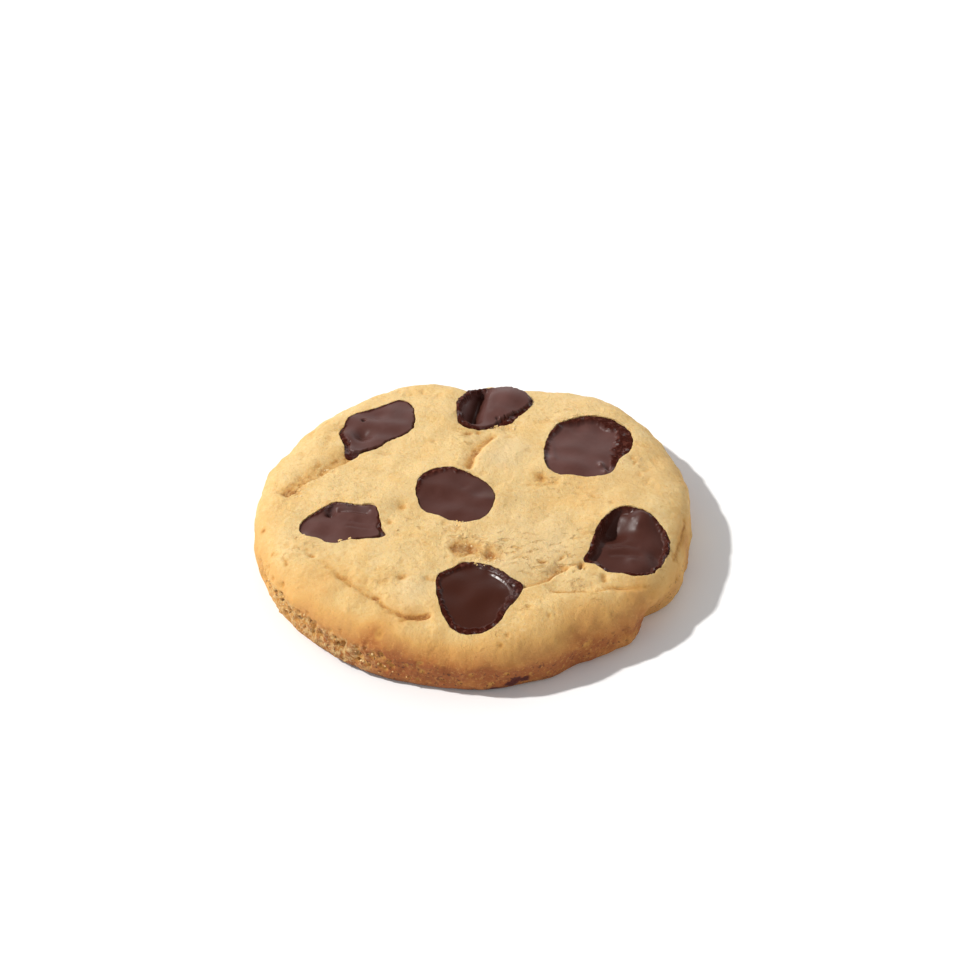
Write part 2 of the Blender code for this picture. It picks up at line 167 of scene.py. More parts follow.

# Pits in the top: (x, y, half width, height, how dark, by painted shade with some browning)
PITS = (
    (-1.8, -12.7, 1.5, -1.0, 1.2), (-0.1, -12.9, 1.1, -0.6, 0.9), (2.7, -14.2, 1.25, -0.8, 1.1),
    (-3.4, -12.9, 0.7, -0.4, 0.6), (-12.2, -2.4, 0.75, -0.45, 0.7), (-11.9, -20.0, 0.7, -0.45, 0.9),
    (-7.7, -20.4, 0.6, -0.35, 0.6), (-6.6, -20.7, 0.5, -0.30, 0.5), (-14.2, -6.3, 0.5, -0.35, 0.5),
    (-16.0, -6.6, 0.5, -0.3, 0.4), (-4.9, -6.9, 0.6, -0.3, 0.4), (-0.9, 17.4, 0.7, -0.3, 0.4),
    (0.8, 17.6, 0.6, -0.35, 0.6), (27.6, 11.6, 0.6, -0.35, 0.5), (11.3, 4.9, 0.9, -0.30, 0.6),
    (13.9, 3.7, 0.7, -0.3, 0.5), (20.2, 0.4, 0.5, -0.3, 0.4), (12.3, -28.3, 0.45, -0.35, 0.6),
    (5.4, -32.2, 0.4, -0.35, 0.9), (4.4, -33.9, 0.45, -0.35, 0.9), (-15.3, -30.8, 0.8, -0.3, 0.8),
    (-35.8, -5.0, 0.6, -0.25, 0.9), (-33.9, -11.3, 0.6, -0.25, 0.6), (-31.4, -14.6, 0.5, -0.25, 0.6),
    (-26.9, -13.6, 0.45, -0.35, 0.5), (-32.3, 3.5, 0.7, -0.40, 1.0), (-31.0, 3.3, 0.6, -0.40, 1.1),
    (-30.4, 2.4, 0.5, -0.35, 1.1), (-31.6, 2.4, 0.5, -0.30, 0.9), (-7.0, 15.0, 0.5, -0.2, 0.4),
    (-29.5, -8.9, 0.6, -0.3, 0.3), (23.5, -1.5, 0.4, -0.25, 0.3), (9.0, -26.5, 0.4, -0.2, 0.3),
)
# Patches that have crumbled: (x, y, half width, how rough)
CRUMBLED = (
    (-1.5, -13.2, 3.6, 1.0), (3.2, -14.6, 2.6, 0.8), (-3.2, -8.0, 2.6, 0.8), (-6.8, -20.4, 1.6, 0.6),
    (-31.2, 3.4, 2.4, 1.1), (-26.4, 8.6, 2.4, 0.9), (-22.8, 11.6, 1.8, 0.9), (-33.0, -0.2, 1.8, 0.9),
    (-29.4, 6.0, 2.0, 0.8), (-15.2, -6.5, 2.0, 0.6), (13.0, -15.5, 3.2, 0.7), (-29.0, -9.8, 1.8, 0.8),
    (-22.0, -10.4, 1.8, 0.5), (3.0, 19.0, 2.6, 0.7), (-0.2, 17.6, 1.8, 0.6), (18.5, 22.8, 3.0, 0.4),
    (12.2, 4.2, 2.4, 0.5), (17.5, 2.0, 3.0, 0.4), (28.2, 11.0, 1.4, 0.4), (-20.5, -21.5, 1.8, 0.4),
)
# Floury paler patches, and warmer baked ones of which two are painted shade: (x, y, half width, strength)
PALE = (
    (4.5, 9.6, 3.2, 0.8), (7.2, 13.6, 3.0, 0.6), (9.0, -9.5, 8.0, 0.35), (4.0, -16.8, 3.4, 0.6),
    (-9.8, -23.4, 3.4, 0.7), (-2.2, -6.8, 2.2, 0.6), (13.4, -12.0, 4.0, 0.4), (-26.0, -10.2, 3.6, 0.35),
    (20.0, 24.0, 7.0, 0.30), (30.0, 9.0, 6.0, 0.25), (24.0, 1.0, 6.0, 0.15),
)
WARM_AND_SHADE = (
    (-24.5, 12.6, 3.0, 0.22), (-21.6, 13.4, 1.6, 0.20), (-31.4, 3.8, 1.8, 0.30), (-27.5, 9.0, 2.2, 0.15),
    (-24.0, -20.0, 5.0, 0.22), (-15.0, -28.5, 4.5, 0.20), (-16.5, -30.5, 2.0, 0.25),
    (17.0, -29.0, 5.0, 0.20), (27.0, -21.0, 4.0, 0.15), (36.5, -6.0, 3.0, 0.30), (-1.5, -12.8, 2.2, 0.42),
    # The spots at (17.0, 2.0) and (31.0, 10.0) are painted shade: the top darker to the right, where the light
    # falls off
    (2.8, -14.3, 1.6, 0.34), (-10.0, -28.2, 1.4, 0.35), (17.0, 2.0, 9.0, 0.21), (22.0, -27.0, 5.0, 0.16),
    (27.5, -22.0, 4.0, 0.16), (31.0, 10.0, 6.0, 0.17),
)

# How warmly the shoulder has browned: (angle, share)
EDGE_WARMTH = (
    (-180, 0.46), (-150, 0.68), (-125, 1.06), (-98, 1.36), (-72, 0.98), (-30, 0.62), (0, 0.44), (40, 0.38),
    (90, 0.20), (135, 0.12),
)

# Browning: how much each kind adds, where it starts and over what it eases in
SHOULDER_BAKE = 0.56
SHOULDER_START = 0.10
SHOULDER_EASE = 0.85
EARLY_BAKE = 0.12
EARLY_START = 0.40
EARLY_EASE = 0.35
LOW_BAKE = 0.26
LOW_TOP = 7.2
LOW_EASE = 3.2
LOW_GRAIN = ((0.8, 5.0, 37),)
LOW_WARMTH = (0.45, 1.0)
BEHIND_BAKE = 0.20
BEHIND_EASE = 0.5
BEHIND_WARMTH = 0.95
UNDERSIDE_BAKE = 0.9
# The dark foot: burnt base crust, partly painted shadow where the foot meets the table
DARK_FOOT_TOP = 1.5
DARK_FOOT_EASE = 1.2
DARK_FOOT_GRAIN = ((0.5, 2.0, 46),)
DARK_FOOT_ANGLES = (-150, -60)
DARK_FOOT_FADES = (20, 25)

# How much painted shade, with some browning, darkens the dough's holes, pits, pocks and hollows
HOLE_SHADE = 0.68
PIT_SHADE = 0.7
POCK_SHADE = 0.30
CRUST_HOLLOW_SHADE = 0.38
HOLLOW_EASE = 0.35
RAISED_EASE = 0.40
CRUMBLY_TOP = 0.6

# The dough's grain, its small pocks, and its roughness where it crumbled or broke
FINE_GRAIN = ((0.06, 3.1, 31), (0.055, 1.3, 32), (0.065, 0.65, 33))
BROKEN_GRAIN = ((0.40, 1.15, 34), (0.60, 0.60, 35))
POCK_GRAIN = ((1.0, 1.5, 38), (0.5, 0.7, 39))
POCK_PATCHES = (9.0, 40)
POCK_PATCH_SHARE = 0.6
POCK_START = 0.42
POCK_EASE = 0.30
POCK_DEPTH = 0.13
CRUMBLED_ROUGHNESS = 0.30
CRUST_ROUGHNESS = 0.46
FOOT_SMOOTH = 0.2
FOOT_SMOOTH_EASE = 0.6
LOWEST_SIDE = 0.02
EDGE_SLACK = 1e-6

# Crust that broke open along the lower left of the side: angles and heights, how it fades, and its holes
CRUST_ANGLES = (-163, -112)
CRUST_FADES = (12, 16)
CRUST_HEIGHTS = (0.4, 7.2)
CRUST_HEIGHT_FADES = (1.0, 2.0)
CREASE_OUTWARD = 0.15
CRUST_HOLES = 120
HOLE_SEED = 5
HOLE_HEIGHTS = (5.6, 4.0)
HOLE_SCATTER = 1.1
HOLE_WIDTHS = (0.20, 0.55)
HOLE_DEPTHS = (0.4, 1.1)
HOLE_DEPTH = 0.60
DEEPEST_HOLE = 1.4
# Small pits over the whole side, drawn at random, and the ones that the photograph shows, given as
# (angle, height, half width, strength)
SIDE_SPECKS = 150
SPECK_SEED = 6
SPECK_HEIGHTS = (0.6, 6.4)
SPECK_WIDTHS = (0.14, 0.34)
SPECK_STRENGTHS = (0.4, 1.0)
PIT_DEPTH = 0.35
SIDE_PITS = (
    (-91.0, 4.8, 0.5, 0.9), (-81.8, 4.6, 0.5, 0.8), (-58.4, 5.0, 0.6, 0.9), (-56.9, 5.4, 0.5, 0.9),
    (-61.4, 8.5, 0.5, 0.7), (-99.0, 3.0, 0.4, 0.7), (-94.0, 2.6, 0.4, 0.8), (-86.0, 2.2, 0.5, 0.9),
    (-75.0, 3.0, 0.4, 0.7), (-70.0, 2.2, 0.4, 0.8), (-66.0, 4.0, 0.35, 0.6), (-104.0, 4.2, 0.45, 0.8),
)
# The smear of melted chocolate at the foot of the front: (angle, height, half width along, half width up)
MELT_SPOTS = ((-81.0, 1.5, 1.0, 0.8), (-79.0, 2.2, 1.0, 1.1), (-76.6, 2.1, 0.9, 0.8), (-85.0, 0.8, 1.4, 0.5))
MELT_GRAIN = ((0.45, 0.5, 36),)
MELT_EDGE = 0.45
MELT_EASE = 0.20

# Pockets: how far the dough's points are drawn to their lip and within what distance, their depth and their
# wall
LIP_PULL = 0.34
LIP_REACH = 1.36
POCKET_DEPTH = 4.6
POCKET_WALL = 0.40
POCKET_FACING = 0.2

# The pieces in the pockets: how deep they are, the rings and turns of their surface, and how rings crowd
# outwards
CHOCOLATE_DEPTH = 4.2
CHOCOLATE_RINGS = 84
CHOCOLATE_TURNS = 288
TOP_RINGS_SHARE = 0.80
RING_CROWDING = 1.15
# Down a piece's wall: shares of its rings, how far in it has come at each, and how far down
WALL_STEPS = (0, 0.1, 0.8, 1)
WALL_INSETS = (0, 0, 1.4, 3.8)
WALL_FALLS = (0, 0.08, 0.9, 1)
# How much of the forms the rim covers, how its very edge drops, and how far painted shade darkens deep hollows
RIM_COVERS = 0.75
EDGE_DROP = 0.12
EDGE_DROP_WIDTH = 0.3
CHOCOLATE_HOLLOW_SHADE = 0.80
CHOCOLATE_HOLLOW_SHADE_START = 0.7
CHOCOLATE_HOLLOW_SHADE_EASE = 1.4
RAGGED_GRAIN = ((1.0, 0.16, 21), (0.6, 0.07, 22))
EDGE_FRAY = ((0.13, 0.045, 26),)
RIM_GRAIN = ((0.25, 0.25, 24), (0.12, 0.1, 25))
BREAK_GRAIN = ((0.08, 0.9, 41), (0.072, 0.45, 42), (0.056, 0.25, 43))
SATIN_GRAIN = ((0.030, 2.4, 44), (0.008, 1.0, 45))
# Each piece, from its own centre: the corners of its outline (turn, distance) and how ragged it is; how proud
# of the dough its middle stands; how much a faint bloom and a painted reflection pale it; how softly its rim
# starts; rims (turn, width, height above the middle), forms (x, y, half width, height), grooves like the folds,
# and gloss (x, y, half width, strength)
CHOCOLATES = {
    "chocolate_back_left": dict(
        centre=(-17.0, 20.2),
        corners=(
            (20, 7.0), (60, 9.1), (88, 6.3), (115, 5.7), (143, 6.1), (167, 6.0), (200, 7.1), (224, 8.0),
            (241, 10.0), (258, 8.0), (285, 5.8), (308, 5.2), (345, 6.4),
        ),
        ragged=0.13, proud=-0.10, bloom_and_sheen=0.82, soft=0.5,
        rims=(
            (30, 0.6, -0.15), (75, 0.8, 0.1), (150, 0.5, 0.1), (205, 1.2, -0.2), (245, 2.0, -0.6),
            (275, 0.9, -0.6), (320, 0.8, -0.5),
        ),
        forms=(
            (-2.6, -2.4, 1.6, -1.3), (0.3, 3.6, 1.3, -0.3), (2.8, 3.6, 1.8, 0.25), (-2.5, 2.0, 0.34, -1.0),
        ),
        grooves=(),
        gloss=((3.2, 3.4, 1.0, 0.25), (-5.0, -6.4, 0.8, 0.8), (-3.2, -7.8, 0.8, 0.8)),
    ),
    "chocolate_back_middle": dict(
        centre=(3.5, 25.6),
        corners=(
            (20, 7.2), (48, 7.0), (75, 6.6), (110, 6.2), (150, 5.9), (180, 6.4), (205, 7.2), (228, 8.4),
            (250, 7.9), (268, 6.6), (282, 5.6), (300, 5.6), (330, 5.3), (355, 6.1),
        ),
        ragged=0.16, proud=0.35, bloom_and_sheen=1.0, soft=0.6,
        rims=(
            (20, 0.7, -0.1), (60, 0.6, 0.0), (100, 1.0, 0.1), (140, 1.3, 0.5), (180, 1.4, 0.8),
            (215, 1.4, 0.6), (250, 0.9, -0.1), (290, 1.7, -0.6), (330, 1.3, -0.4),
        ),
        forms=((3.2, 4.0, 4.2, 1.2), (1.8, -1.0, 2.6, 0.4), (0.6, -3.9, 0.3, -0.5)),
        grooves=(
            dict(
                path=((-1.7, 5.9), (-2.6, 2.6), (-3.2, -0.4), (-3.8, -3.2), (-4.2, -6.4)),
                depth=2.3, widths=(1.4, 1.2),
            ),
        ),
        gloss=((-0.6, -2.0, 0.5, 0.3), (0.6, -4.6, 0.5, 0.3)),
    ),
    "chocolate_back_right": dict(
        centre=(19.6, 14.0),
        corners=(
            (20, 8.8), (50, 9.7), (90, 8.5), (120, 8.0), (165, 7.2), (195, 7.7), (228, 9.7), (255, 8.7),
            (295, 8.3), (328, 6.5), (360, 7.9),
        ),
        ragged=0.13, proud=-0.65, bloom_and_sheen=1.0, soft=1.0,
        rims=(
            (10, 3.4, 0.25), (50, 3.4, 0.35), (75, 2.4, 0.5), (105, 1.6, 0.55), (140, 1.2, 0.6),
            (180, 1.1, 0.6), (225, 0.8, 0.45), (255, 0.4, 0.2), (290, 0.5, 0.2), (318, 1.6, 0.2),
            (345, 2.8, 0.2),
        ),
        forms=(
            (-2.7, -1.9, 3.4, 0.3), (2.4, -4.5, 0.5, 0.5), (3.1, -6.2, 0.5, 0.5), (4.4, -5.6, 0.5, 0.4),
            (3.7, -5.2, 0.5, -0.5), (4.6, 2.6, 2.6, -0.5), (-1.0, 6.0, 1.6, -0.4), (2.4, 6.2, 1.8, -0.4),
        ),
        grooves=(dict(path=((-6.2, 3.2), (-6.0, -0.6), (-5.6, -4.4)), depth=-0.18, widths=(0.5, 0.5)),),
        gloss=((2.2, -4.0, 0.7, 0.9), (3.0, -6.0, 0.7, 0.9), (4.5, -5.4, 0.6, 0.9), (-6.9, -2.8, 0.7, 0.7)),
    ),
    "chocolate_middle": dict(
        centre=(-3.05, 0.3),
        corners=(
            (20, 6.4), (50, 5.8), (82, 6.2), (118, 7.3), (145, 7.6), (185, 6.7), (210, 6.6), (235, 5.9),
            (260, 6.3), (298, 7.7), (335, 7.1), (360, 6.75),
        ),
        ragged=0.10, proud=-0.30, bloom_and_sheen=0.5, soft=0.8,
        rims=(
            (40, 0.6, 0.1), (80, 1.0, 0.25), (115, 1.6, 0.35), (150, 1.2, 0.3), (190, 0.5, 0.1),
            (290, 0.5, 0.0), (340, 0.4, 0.0),
        ),
        forms=(
            (3.7, 0.4, 1.2, -0.25), (5.2, -1.6, 1.2, 0.2), (1.4, 2.0, 0.9, -0.12), (-3.6, 1.0, 0.9, -0.12),
            (-0.9, 1.0, 1.6, -0.1),
        ),
        grooves=(),
        gloss=((4.2, 0.6, 1.2, 0.2),),
    ),
    "chocolate_left": dict(
        centre=(-21.9, -6.1),
        corners=(
            (15, 6.1), (36, 6.1), (54, 4.6), (70, 4.2), (90, 4.6), (108, 5.4), (128, 5.6), (165, 7.2),
            (190, 7.7), (218, 5.4), (235, 5.5), (255, 5.2), (280, 4.4), (310, 5.4), (334, 7.95), (350, 6.6),
        ),
        ragged=0.12, proud=-0.35, bloom_and_sheen=0.85, soft=0.35,
        rims=(
            (20, 0.5, 0.1), (60, 0.5, 0.2), (100, 0.7, 0.3), (135, 0.8, 0.3), (190, 0.4, 0.1),
            (260, 0.3, 0.1), (330, 1.3, -0.4),
        ),
        forms=((-2.4, 3.2, 0.8, -1.2), (1.5, 1.0, 0.8, 0.15), (0.5, -0.9, 1.6, 0.12)),
        grooves=(
            dict(path=((-1.6, 3.5), (0.4, 3.2), (2.4, 2.6), (4.6, 2.0)), depth=0.55, widths=(0.40, 0.40)),
            dict(path=((0.0, -0.6), (2.6, -1.0), (5.0, -1.4)), depth=0.10, widths=(0.3, 0.3)),
            dict(path=((0.6, 0.6), (3.0, 0.1), (5.4, -0.3)), depth=0.10, widths=(0.3, 0.3)),
            dict(
                path=((-4.2, 3.7), (-1.6, 4.5), (0.8, 4.0), (3.2, 3.2), (4.8, 2.9)),
                depth=-0.30, widths=(0.3, 0.3),
            ),
        ),
        gloss=(
            (-2.6, 4.4, 1.0, 0.6), (0.6, 4.0, 1.0, 0.8), (3.4, 3.1, 1.0, 0.8), (6.4, -2.4, 0.7, 0.5),
            (-6.8, -1.4, 0.7, 0.5),
        ),
    ),
    "chocolate_right": dict(
        centre=(26.2, -10.5),
        corners=(
            (10, 7.0), (35, 7.1), (60, 7.5), (90, 8.1), (120, 7.0), (150, 6.3), (180, 6.2), (200, 7.6),
            (211, 9.2), (222, 8.1), (240, 8.1), (258, 7.6), (290, 7.6), (320, 6.9), (345, 6.6),
        ),
        ragged=0.13, proud=-1.30, bloom_and_sheen=0.35, soft=1.0,
        rims=(
            (0, 1.2, 1.2), (40, 1.2, 0.9), (70, 1.2, 0.8), (95, 1.2, 1.2), (135, 1.2, 1.5), (180, 1.2, 1.5),
            (215, 1.6, 1.2), (250, 1.2, 0.9), (300, 1.2, 1.1),
        ),
        forms=(
            (-2.7, 3.5, 2.5, -1.6), (-2.0, 5.4, 1.4, -0.4), (2.7, 6.1, 2.6, 1.5), (0.3, -0.9, 2.0, 0.25),
            (0.2, -3.4, 0.9, 0.25), (4.3, -1.8, 1.2, -0.5), (4.2, -3.6, 1.0, -0.2), (1.6, 4.2, 0.6, 0.15),
            (0.6, 5.6, 0.5, 0.12),
        ),
        grooves=(
            dict(path=((-3.6, -0.4), (-1.0, 0.3), (2.0, -0.2)), depth=0.16, widths=(0.6, 0.5)),
            dict(path=((-4.0, -2.2), (-1.0, -1.8), (2.4, -2.4)), depth=0.16, widths=(0.6, 0.5)),
        ),
        gloss=(
            (-5.6, -4.8, 0.8, 0.9), (-3.0, -6.6, 0.8, 0.7), (5.6, -3.4, 0.9, 0.6), (1.0, 6.6, 0.8, 0.5),
            (-0.2, -3.6, 0.8, 0.4),
        ),
    ),
    "chocolate_front": dict(
        centre=(0.1, -24.1),
        corners=(
            (17, 8.4), (35, 7.4), (75, 7.45), (103, 8.2), (120, 7.65), (140, 7.7), (165, 6.65), (192, 6.15),
            (218, 6.7), (245, 7.9), (264, 8.1), (290, 7.7), (325, 6.35), (350, 6.8),
        ),
        ragged=0.12, proud=-0.55, bloom_and_sheen=0.0, soft=0.7,
        rims=(
            (10, 2.2, 0.4), (40, 1.2, 0.55), (75, 1.0, 0.5), (120, 1.2, 0.5), (165, 1.2, 0.45),
            (210, 1.3, 0.4), (245, 1.7, 0.35), (285, 1.7, 0.3), (320, 1.6, 0.3), (345, 2.0, 0.35),
        ),
        forms=((-0.6, -0.8, 3.5, -0.15), (5.0, -1.6, 0.9, -0.1)),
        grooves=(
            dict(
                path=((5.2, -3.0), (6.2, -1.2), (6.4, 0.6), (5.6, 2.6), (4.0, 4.6), (2.0, 6.0)),
                depth=-0.32, widths=(0.32, 0.32),
            ),
        ),
        gloss=(
            (6.4, 0.4, 1.0, 0.7), (5.4, 2.8, 1.1, 0.9), (3.6, 5.0, 1.1, 0.8), (0.8, 6.6, 1.0, 0.6),
            (5.6, -2.6, 0.8, 0.6),
        ),
    ),
}

# Loose pale crumbs beside the pieces and along the cracks: (x, y, spread, how many)
CRUMB_GROUPS = (
    (-29.3, -8.9, 1.0, 10), (-21.9, -9.9, 1.2, 9), (-2.4, -6.9, 1.1, 20), (-19.9, 12.9, 0.6, 7),
    (3.8, 19.4, 1.0, 12), (-25.4, 8.7, 1.0, 14), (-27.0, 7.4, 0.8, 7), (-1.4, -10.9, 1.8, 7),
    (2.0, -15.8, 2.0, 7), (-30.8, 2.2, 1.4, 10), (0.4, -16.4, 2.2, 8), (17.6, -17.6, 0.6, 3),
    (6.6, 19.8, 0.8, 5), (-13.6, -8.8, 0.7, 4),
)
# How the crumbs lie: a group's depth against its width, their half widths, how far they sink in, and how far
# inside a piece's outline one is left out
CRUMB_SEED = 8
CRUMB_GROUP_SQUASH = 0.7
CRUMB_SIZES = (0.09, 0.27)
CRUMB_SINK = 0.45
CRUMB_CLEAR = 0.6
CRUMB_GRAIN = ((0.60, 0.20, 51),)
CRUMB_RINGS = 5
CRUMB_TURNS = 7
# The crumbs on the broken crust: how many, over which angles, and how high at its two ends
CRUST_CRUMBS = 22
CRUMB_ANGLES = (-169, -108)
CRUMB_HEIGHTS = (4.6, 3.2)
CRUMB_SCATTER = 1.3
CRUMB_HEIGHT_LIMITS = (1.2, 7.0)
CRUMB_INSET = 0.15

# The camera, as the photograph was taken: down at an angle from in front, with the table's middle at this
# pixel
CAMERA_DISTANCE = 500.0
CAMERA_PITCH = 41.0
FOCAL_PIXELS = 2887.0
PICTURE_PIXELS = 960
ORIGIN_PIXEL = (474.0, 547.3)
SENSOR_WIDTH = 36.0
NEAREST_SIGHT = 10.0

# Light: a small hard key from the left and slightly behind, and an even white room
KEY_FROM = (-0.98, 0.05, 1.0)
KEY_STRENGTH = 3.1
KEY_ANGLE = 3.0
KEY_COLOUR = (1.0, 0.985, 0.96)
ROOM_STRENGTH = 0.56
ROOM_COLOUR = (0.98, 0.99, 1.0, 1)
# The room's brightness by how far up, and how far back, one looks: (from, to, brightness at from, at to)
ROOM_UPWARDS = (0.50, 0.80, 1.52, 0.62)
ROOM_BACKWARDS = (-0.2, 0.8, 0.85, 1.25)

# The table, in metres
TABLE_HALF = 3.0
TABLE_SHADER = {"Base Color": (0.93, 0.93, 0.935, 1), "Roughness": 0.9, "Specular IOR Level": 0.1}

# Colours of the dough
PALE_DOUGH = (0.800, 0.565, 0.255, 1)
GOLD_DOUGH = (0.765, 0.505, 0.200, 1)
TAN_DOUGH = (0.690, 0.370, 0.110, 1)
BROWN_DOUGH = (0.470, 0.180, 0.046, 1)
RUSSET_DOUGH = (0.34, 0.105, 0.030, 1)
# For the side's specks, and for the foot's burnt crust with its painted shadow
BURNT_DOUGH_AND_SHADE = (0.13, 0.045, 0.020, 1)
# Crack and pore colours: painted shade for the recesses, with some browning
CRACK_SHADE_GOLD = (0.63, 0.320, 0.080, 1)
CRACK_SHADE_BROWN = (0.36, 0.140, 0.035, 1)
PORE_SHADE_BROWN = (0.47, 0.175, 0.038, 1)
CREAM_DOUGH = (0.790, 0.600, 0.330, 1)
SPECK_BROWN = (0.36, 0.17, 0.05, 1)
MELTED = (0.085, 0.014, 0.009, 1)
BAKE_STOPS = (
    (0.0, PALE_DOUGH),
    (0.15, GOLD_DOUGH),
    (0.48, TAN_DOUGH),
    (0.85, BROWN_DOUGH),
    (1.0, RUSSET_DOUGH),
)
# Coats over the baked colour, the lowest first: (mark, strength, colour). The crack, wrinkle and pore coats
# are painted shade in the recesses, with some browning.
DOUGH_COATS = (
    ("tan grains", 0.40, TAN_DOUGH),
    ("cream grains", 0.40, CREAM_DOUGH),
    ("floury", 0.80, CREAM_DOUGH),
    ("gold crack shade", 1.0, CRACK_SHADE_GOLD),
    ("brown crack shade", 1.0, CRACK_SHADE_BROWN),
    ("wrinkles", 0.60, CRACK_SHADE_GOLD),
    ("pore shade", 0.72, PORE_SHADE_BROWN),
    ("pore rims", 0.70, PALE_DOUGH),
    ("specks", 0.30, SPECK_BROWN),
    ("side specks", 0.90, BURNT_DOUGH_AND_SHADE),
    ("raised crumb", 0.30, PALE_DOUGH),
    ("burnt and shaded foot", 0.85, BURNT_DOUGH_AND_SHADE),
    ("melted smear", 1.0, MELTED),
)
DOUGH_ROUGHNESS = 0.82
MELTED_ROUGHNESS = 0.60
DOUGH_SHADER = {
    "Specular IOR Level": 0.25,
    "Subsurface Weight": 0.12,
    "Subsurface Radius": (1.0, 0.5, 0.2),
    "Subsurface Scale": 0.0012,
}
CRUMB_SHADER = {"Roughness": 0.85, "Specular IOR Level": 0.2}

# Colours of the chocolate, how strongly the rim has its own, and its shine
CHOCOLATE_BROWN = (0.050, 0.0115, 0.0055, 1)
CHOCOLATE_RIM = (0.044, 0.0072, 0.0034, 1)
# A faint bloom, and the painted reflection of the white room that pales some pieces, most at the back
CHOCOLATE_BLOOM_AND_SHEEN = (0.114, 0.049, 0.042, 1)
CHOCOLATE_SPECK = (0.150, 0.048, 0.034, 1)
RIM_STRENGTH = 0.95
RIM_SPECULAR = (0.14, 0.03)
GLOSS_SPECULAR = 0.6
GLOSS_SMOOTHS = 0.16

# Noise in the materials: (scale per metre, detail, roughness)
BROAD_NOISE = (170.0, 4.0, 0.6)
FINE_NOISE = (1600.0, 6.0, 0.75)
SPECK_NOISE = (1500.0, 2.0, 0.5)
SANDY_NOISE = (1700.0, 4.0, 0.7)
WRINKLE_NOISE = (520.0, 3.0, 0.6)
PORE_NOISE = (1250.0, 5.0, 0.7)
CRUMB_NOISE = (700.0, 2.0, 0.5)
BLOOM_NOISE = (260.0, 3.0, 0.5)
FLECK_NOISE = (1300.0, 3.0, 0.5)
GLINT_NOISE = (900.0, 3.0, 0.5)
GRAINY_NOISE = (2000.0, 4.0, 0.6)

# How a value is eased between two limits: (from, to), into 0 and 1, or into the third and fourth number
BAKE_WAVE_RANGE = (0.3, 0.7, -0.14, 0.14)
BLOTCH_RANGE = (0.42, 0.62)
BLOTCH_STRENGTH = 0.35
TAN_RANGE = (0.52, 0.66)
CREAM_RANGE = (0.48, 0.34)
UNBAKED_RANGE = (0.10, 0.50, 1.0, 0.0)
UNEVEN_RANGE = (0.30, 0.65, 0.35, 1.0)
GOLD_CRACK_RANGE = (0.05, 0.60)
BROWN_CRACK_RANGE = (0.45, 1.0)
WRINKLE_RANGE = (0.54, 0.66)
PORE_RANGE = (0.54, 0.66)
PORE_RIM_RANGE = (0.52, 0.40)
SPECK_RANGE = (0.66, 0.74)
SIDE_SPECK_RANGE = (0.60, 0.68)
CRUMB_RANGE = (0.35, 0.65)
BLOOM_AND_SHEEN_RANGE = (0.30, 0.70, 0.65, 1.0)
FLECK_RANGE = (0.54, 0.66, 0.0, 0.55)
GLINT_RANGE = (0.56, 0.68, 0.0, 0.85)
SATIN_RANGE = (0.3, 0.7, 0.34, 0.46)

# Fine relief: (strength, height in metres); the chocolate's strength is that of its flat top and of its rim
SOFT_BUMP = (1.0, 0.00032)
PORE_BUMP = (0.8, 0.00065)
WRINKLE_BUMP = (0.8, 0.00030)
RIM_BUMP = (0.10, 1.0)
GRAINY_DISTANCE = 0.00022


def bell(distance, half_width):
    """e to the power of minus (distance / half width) squared."""
    return np.exp(-((distance / half_width) ** 2))


def ease(share):
    """3 s squared - 2 s cubed, with s kept between 0 and 1."""
    share = np.clip(share, 0, 1)
    return share * share * (3 - 2 * share)


def between(value, limits, fades):
    """1 between two limits and 0 beyond them, eased in over the first fade and out over the second."""
    return ease((value - limits[0]) / fades[0]) * ease((limits[1] - value) / fades[1])


def grain(points, cell, seed):
    """Random values from -1 to 1 at the corners of cubes, eased between the eight corners round each point."""
    table = np.random.default_rng(seed).uniform(-1, 1, GRAIN_TABLE)
    place = points / cell
    corner = np.floor(place).astype(np.int64)
    share = ease(place - corner)
    total = np.zeros(len(points))
    for step in np.ndindex(2, 2, 2):
        code = np.bitwise_xor.reduce((corner + step) * np.array(GRAIN_STRIDES), axis=1)
        weight = np.prod(np.where(step, share, 1 - share), axis=1)
        total += weight * table[code % len(table)]
    return total


def grains(points, layers):
    """A sum of grain, for layers given as (height, cell, seed)."""
    return sum(height * grain(points, cell, seed) for height, cell, seed in layers)


def lumps(x, y, fields, seed):
    """A sum of sine waves in random directions: several near each field's wavelength share its height."""
    chance = np.random.default_rng(seed)
    total = np.zeros_like(x)
    for wavelength, height in fields:
        for _ in range(LUMP_WAVES):
            heading = chance.uniform(0, 2 * np.pi)
            phase = chance.uniform(0, 2 * np.pi)
            length = wavelength * chance.uniform(*LUMP_STRETCH)
            along = x * np.cos(heading) + y * np.sin(heading)
            total += height * np.sqrt(2 / LUMP_WAVES) * np.sin(2 * np.pi * along / length + phase)
    return total


def spots(x, y, listed, column=3):
    """A sum of bells: column 3 or 4 of each spot, times the bell of the distance from it."""
    total = np.zeros_like(x)
    for spot in listed:
        total += spot[column] * bell(np.hypot(x - spot[0], y - spot[1]), spot[2])
    return total


def turn_from(degrees, angle):
    """The turn from an angle in degrees to each angle, between minus and plus half a turn."""
    return (angle - np.radians(degrees) + np.pi) % (2 * np.pi) - np.pi


def round_bells(angle, listed):
    """A sum of bells round the edge, for bumps given as (angle, half width in degrees, height)."""
    total = np.zeros_like(angle)
    for bump_angle, half_width, height in listed:
        total += height * bell(np.degrees(turn_from(bump_angle, angle)), half_width)
    return total


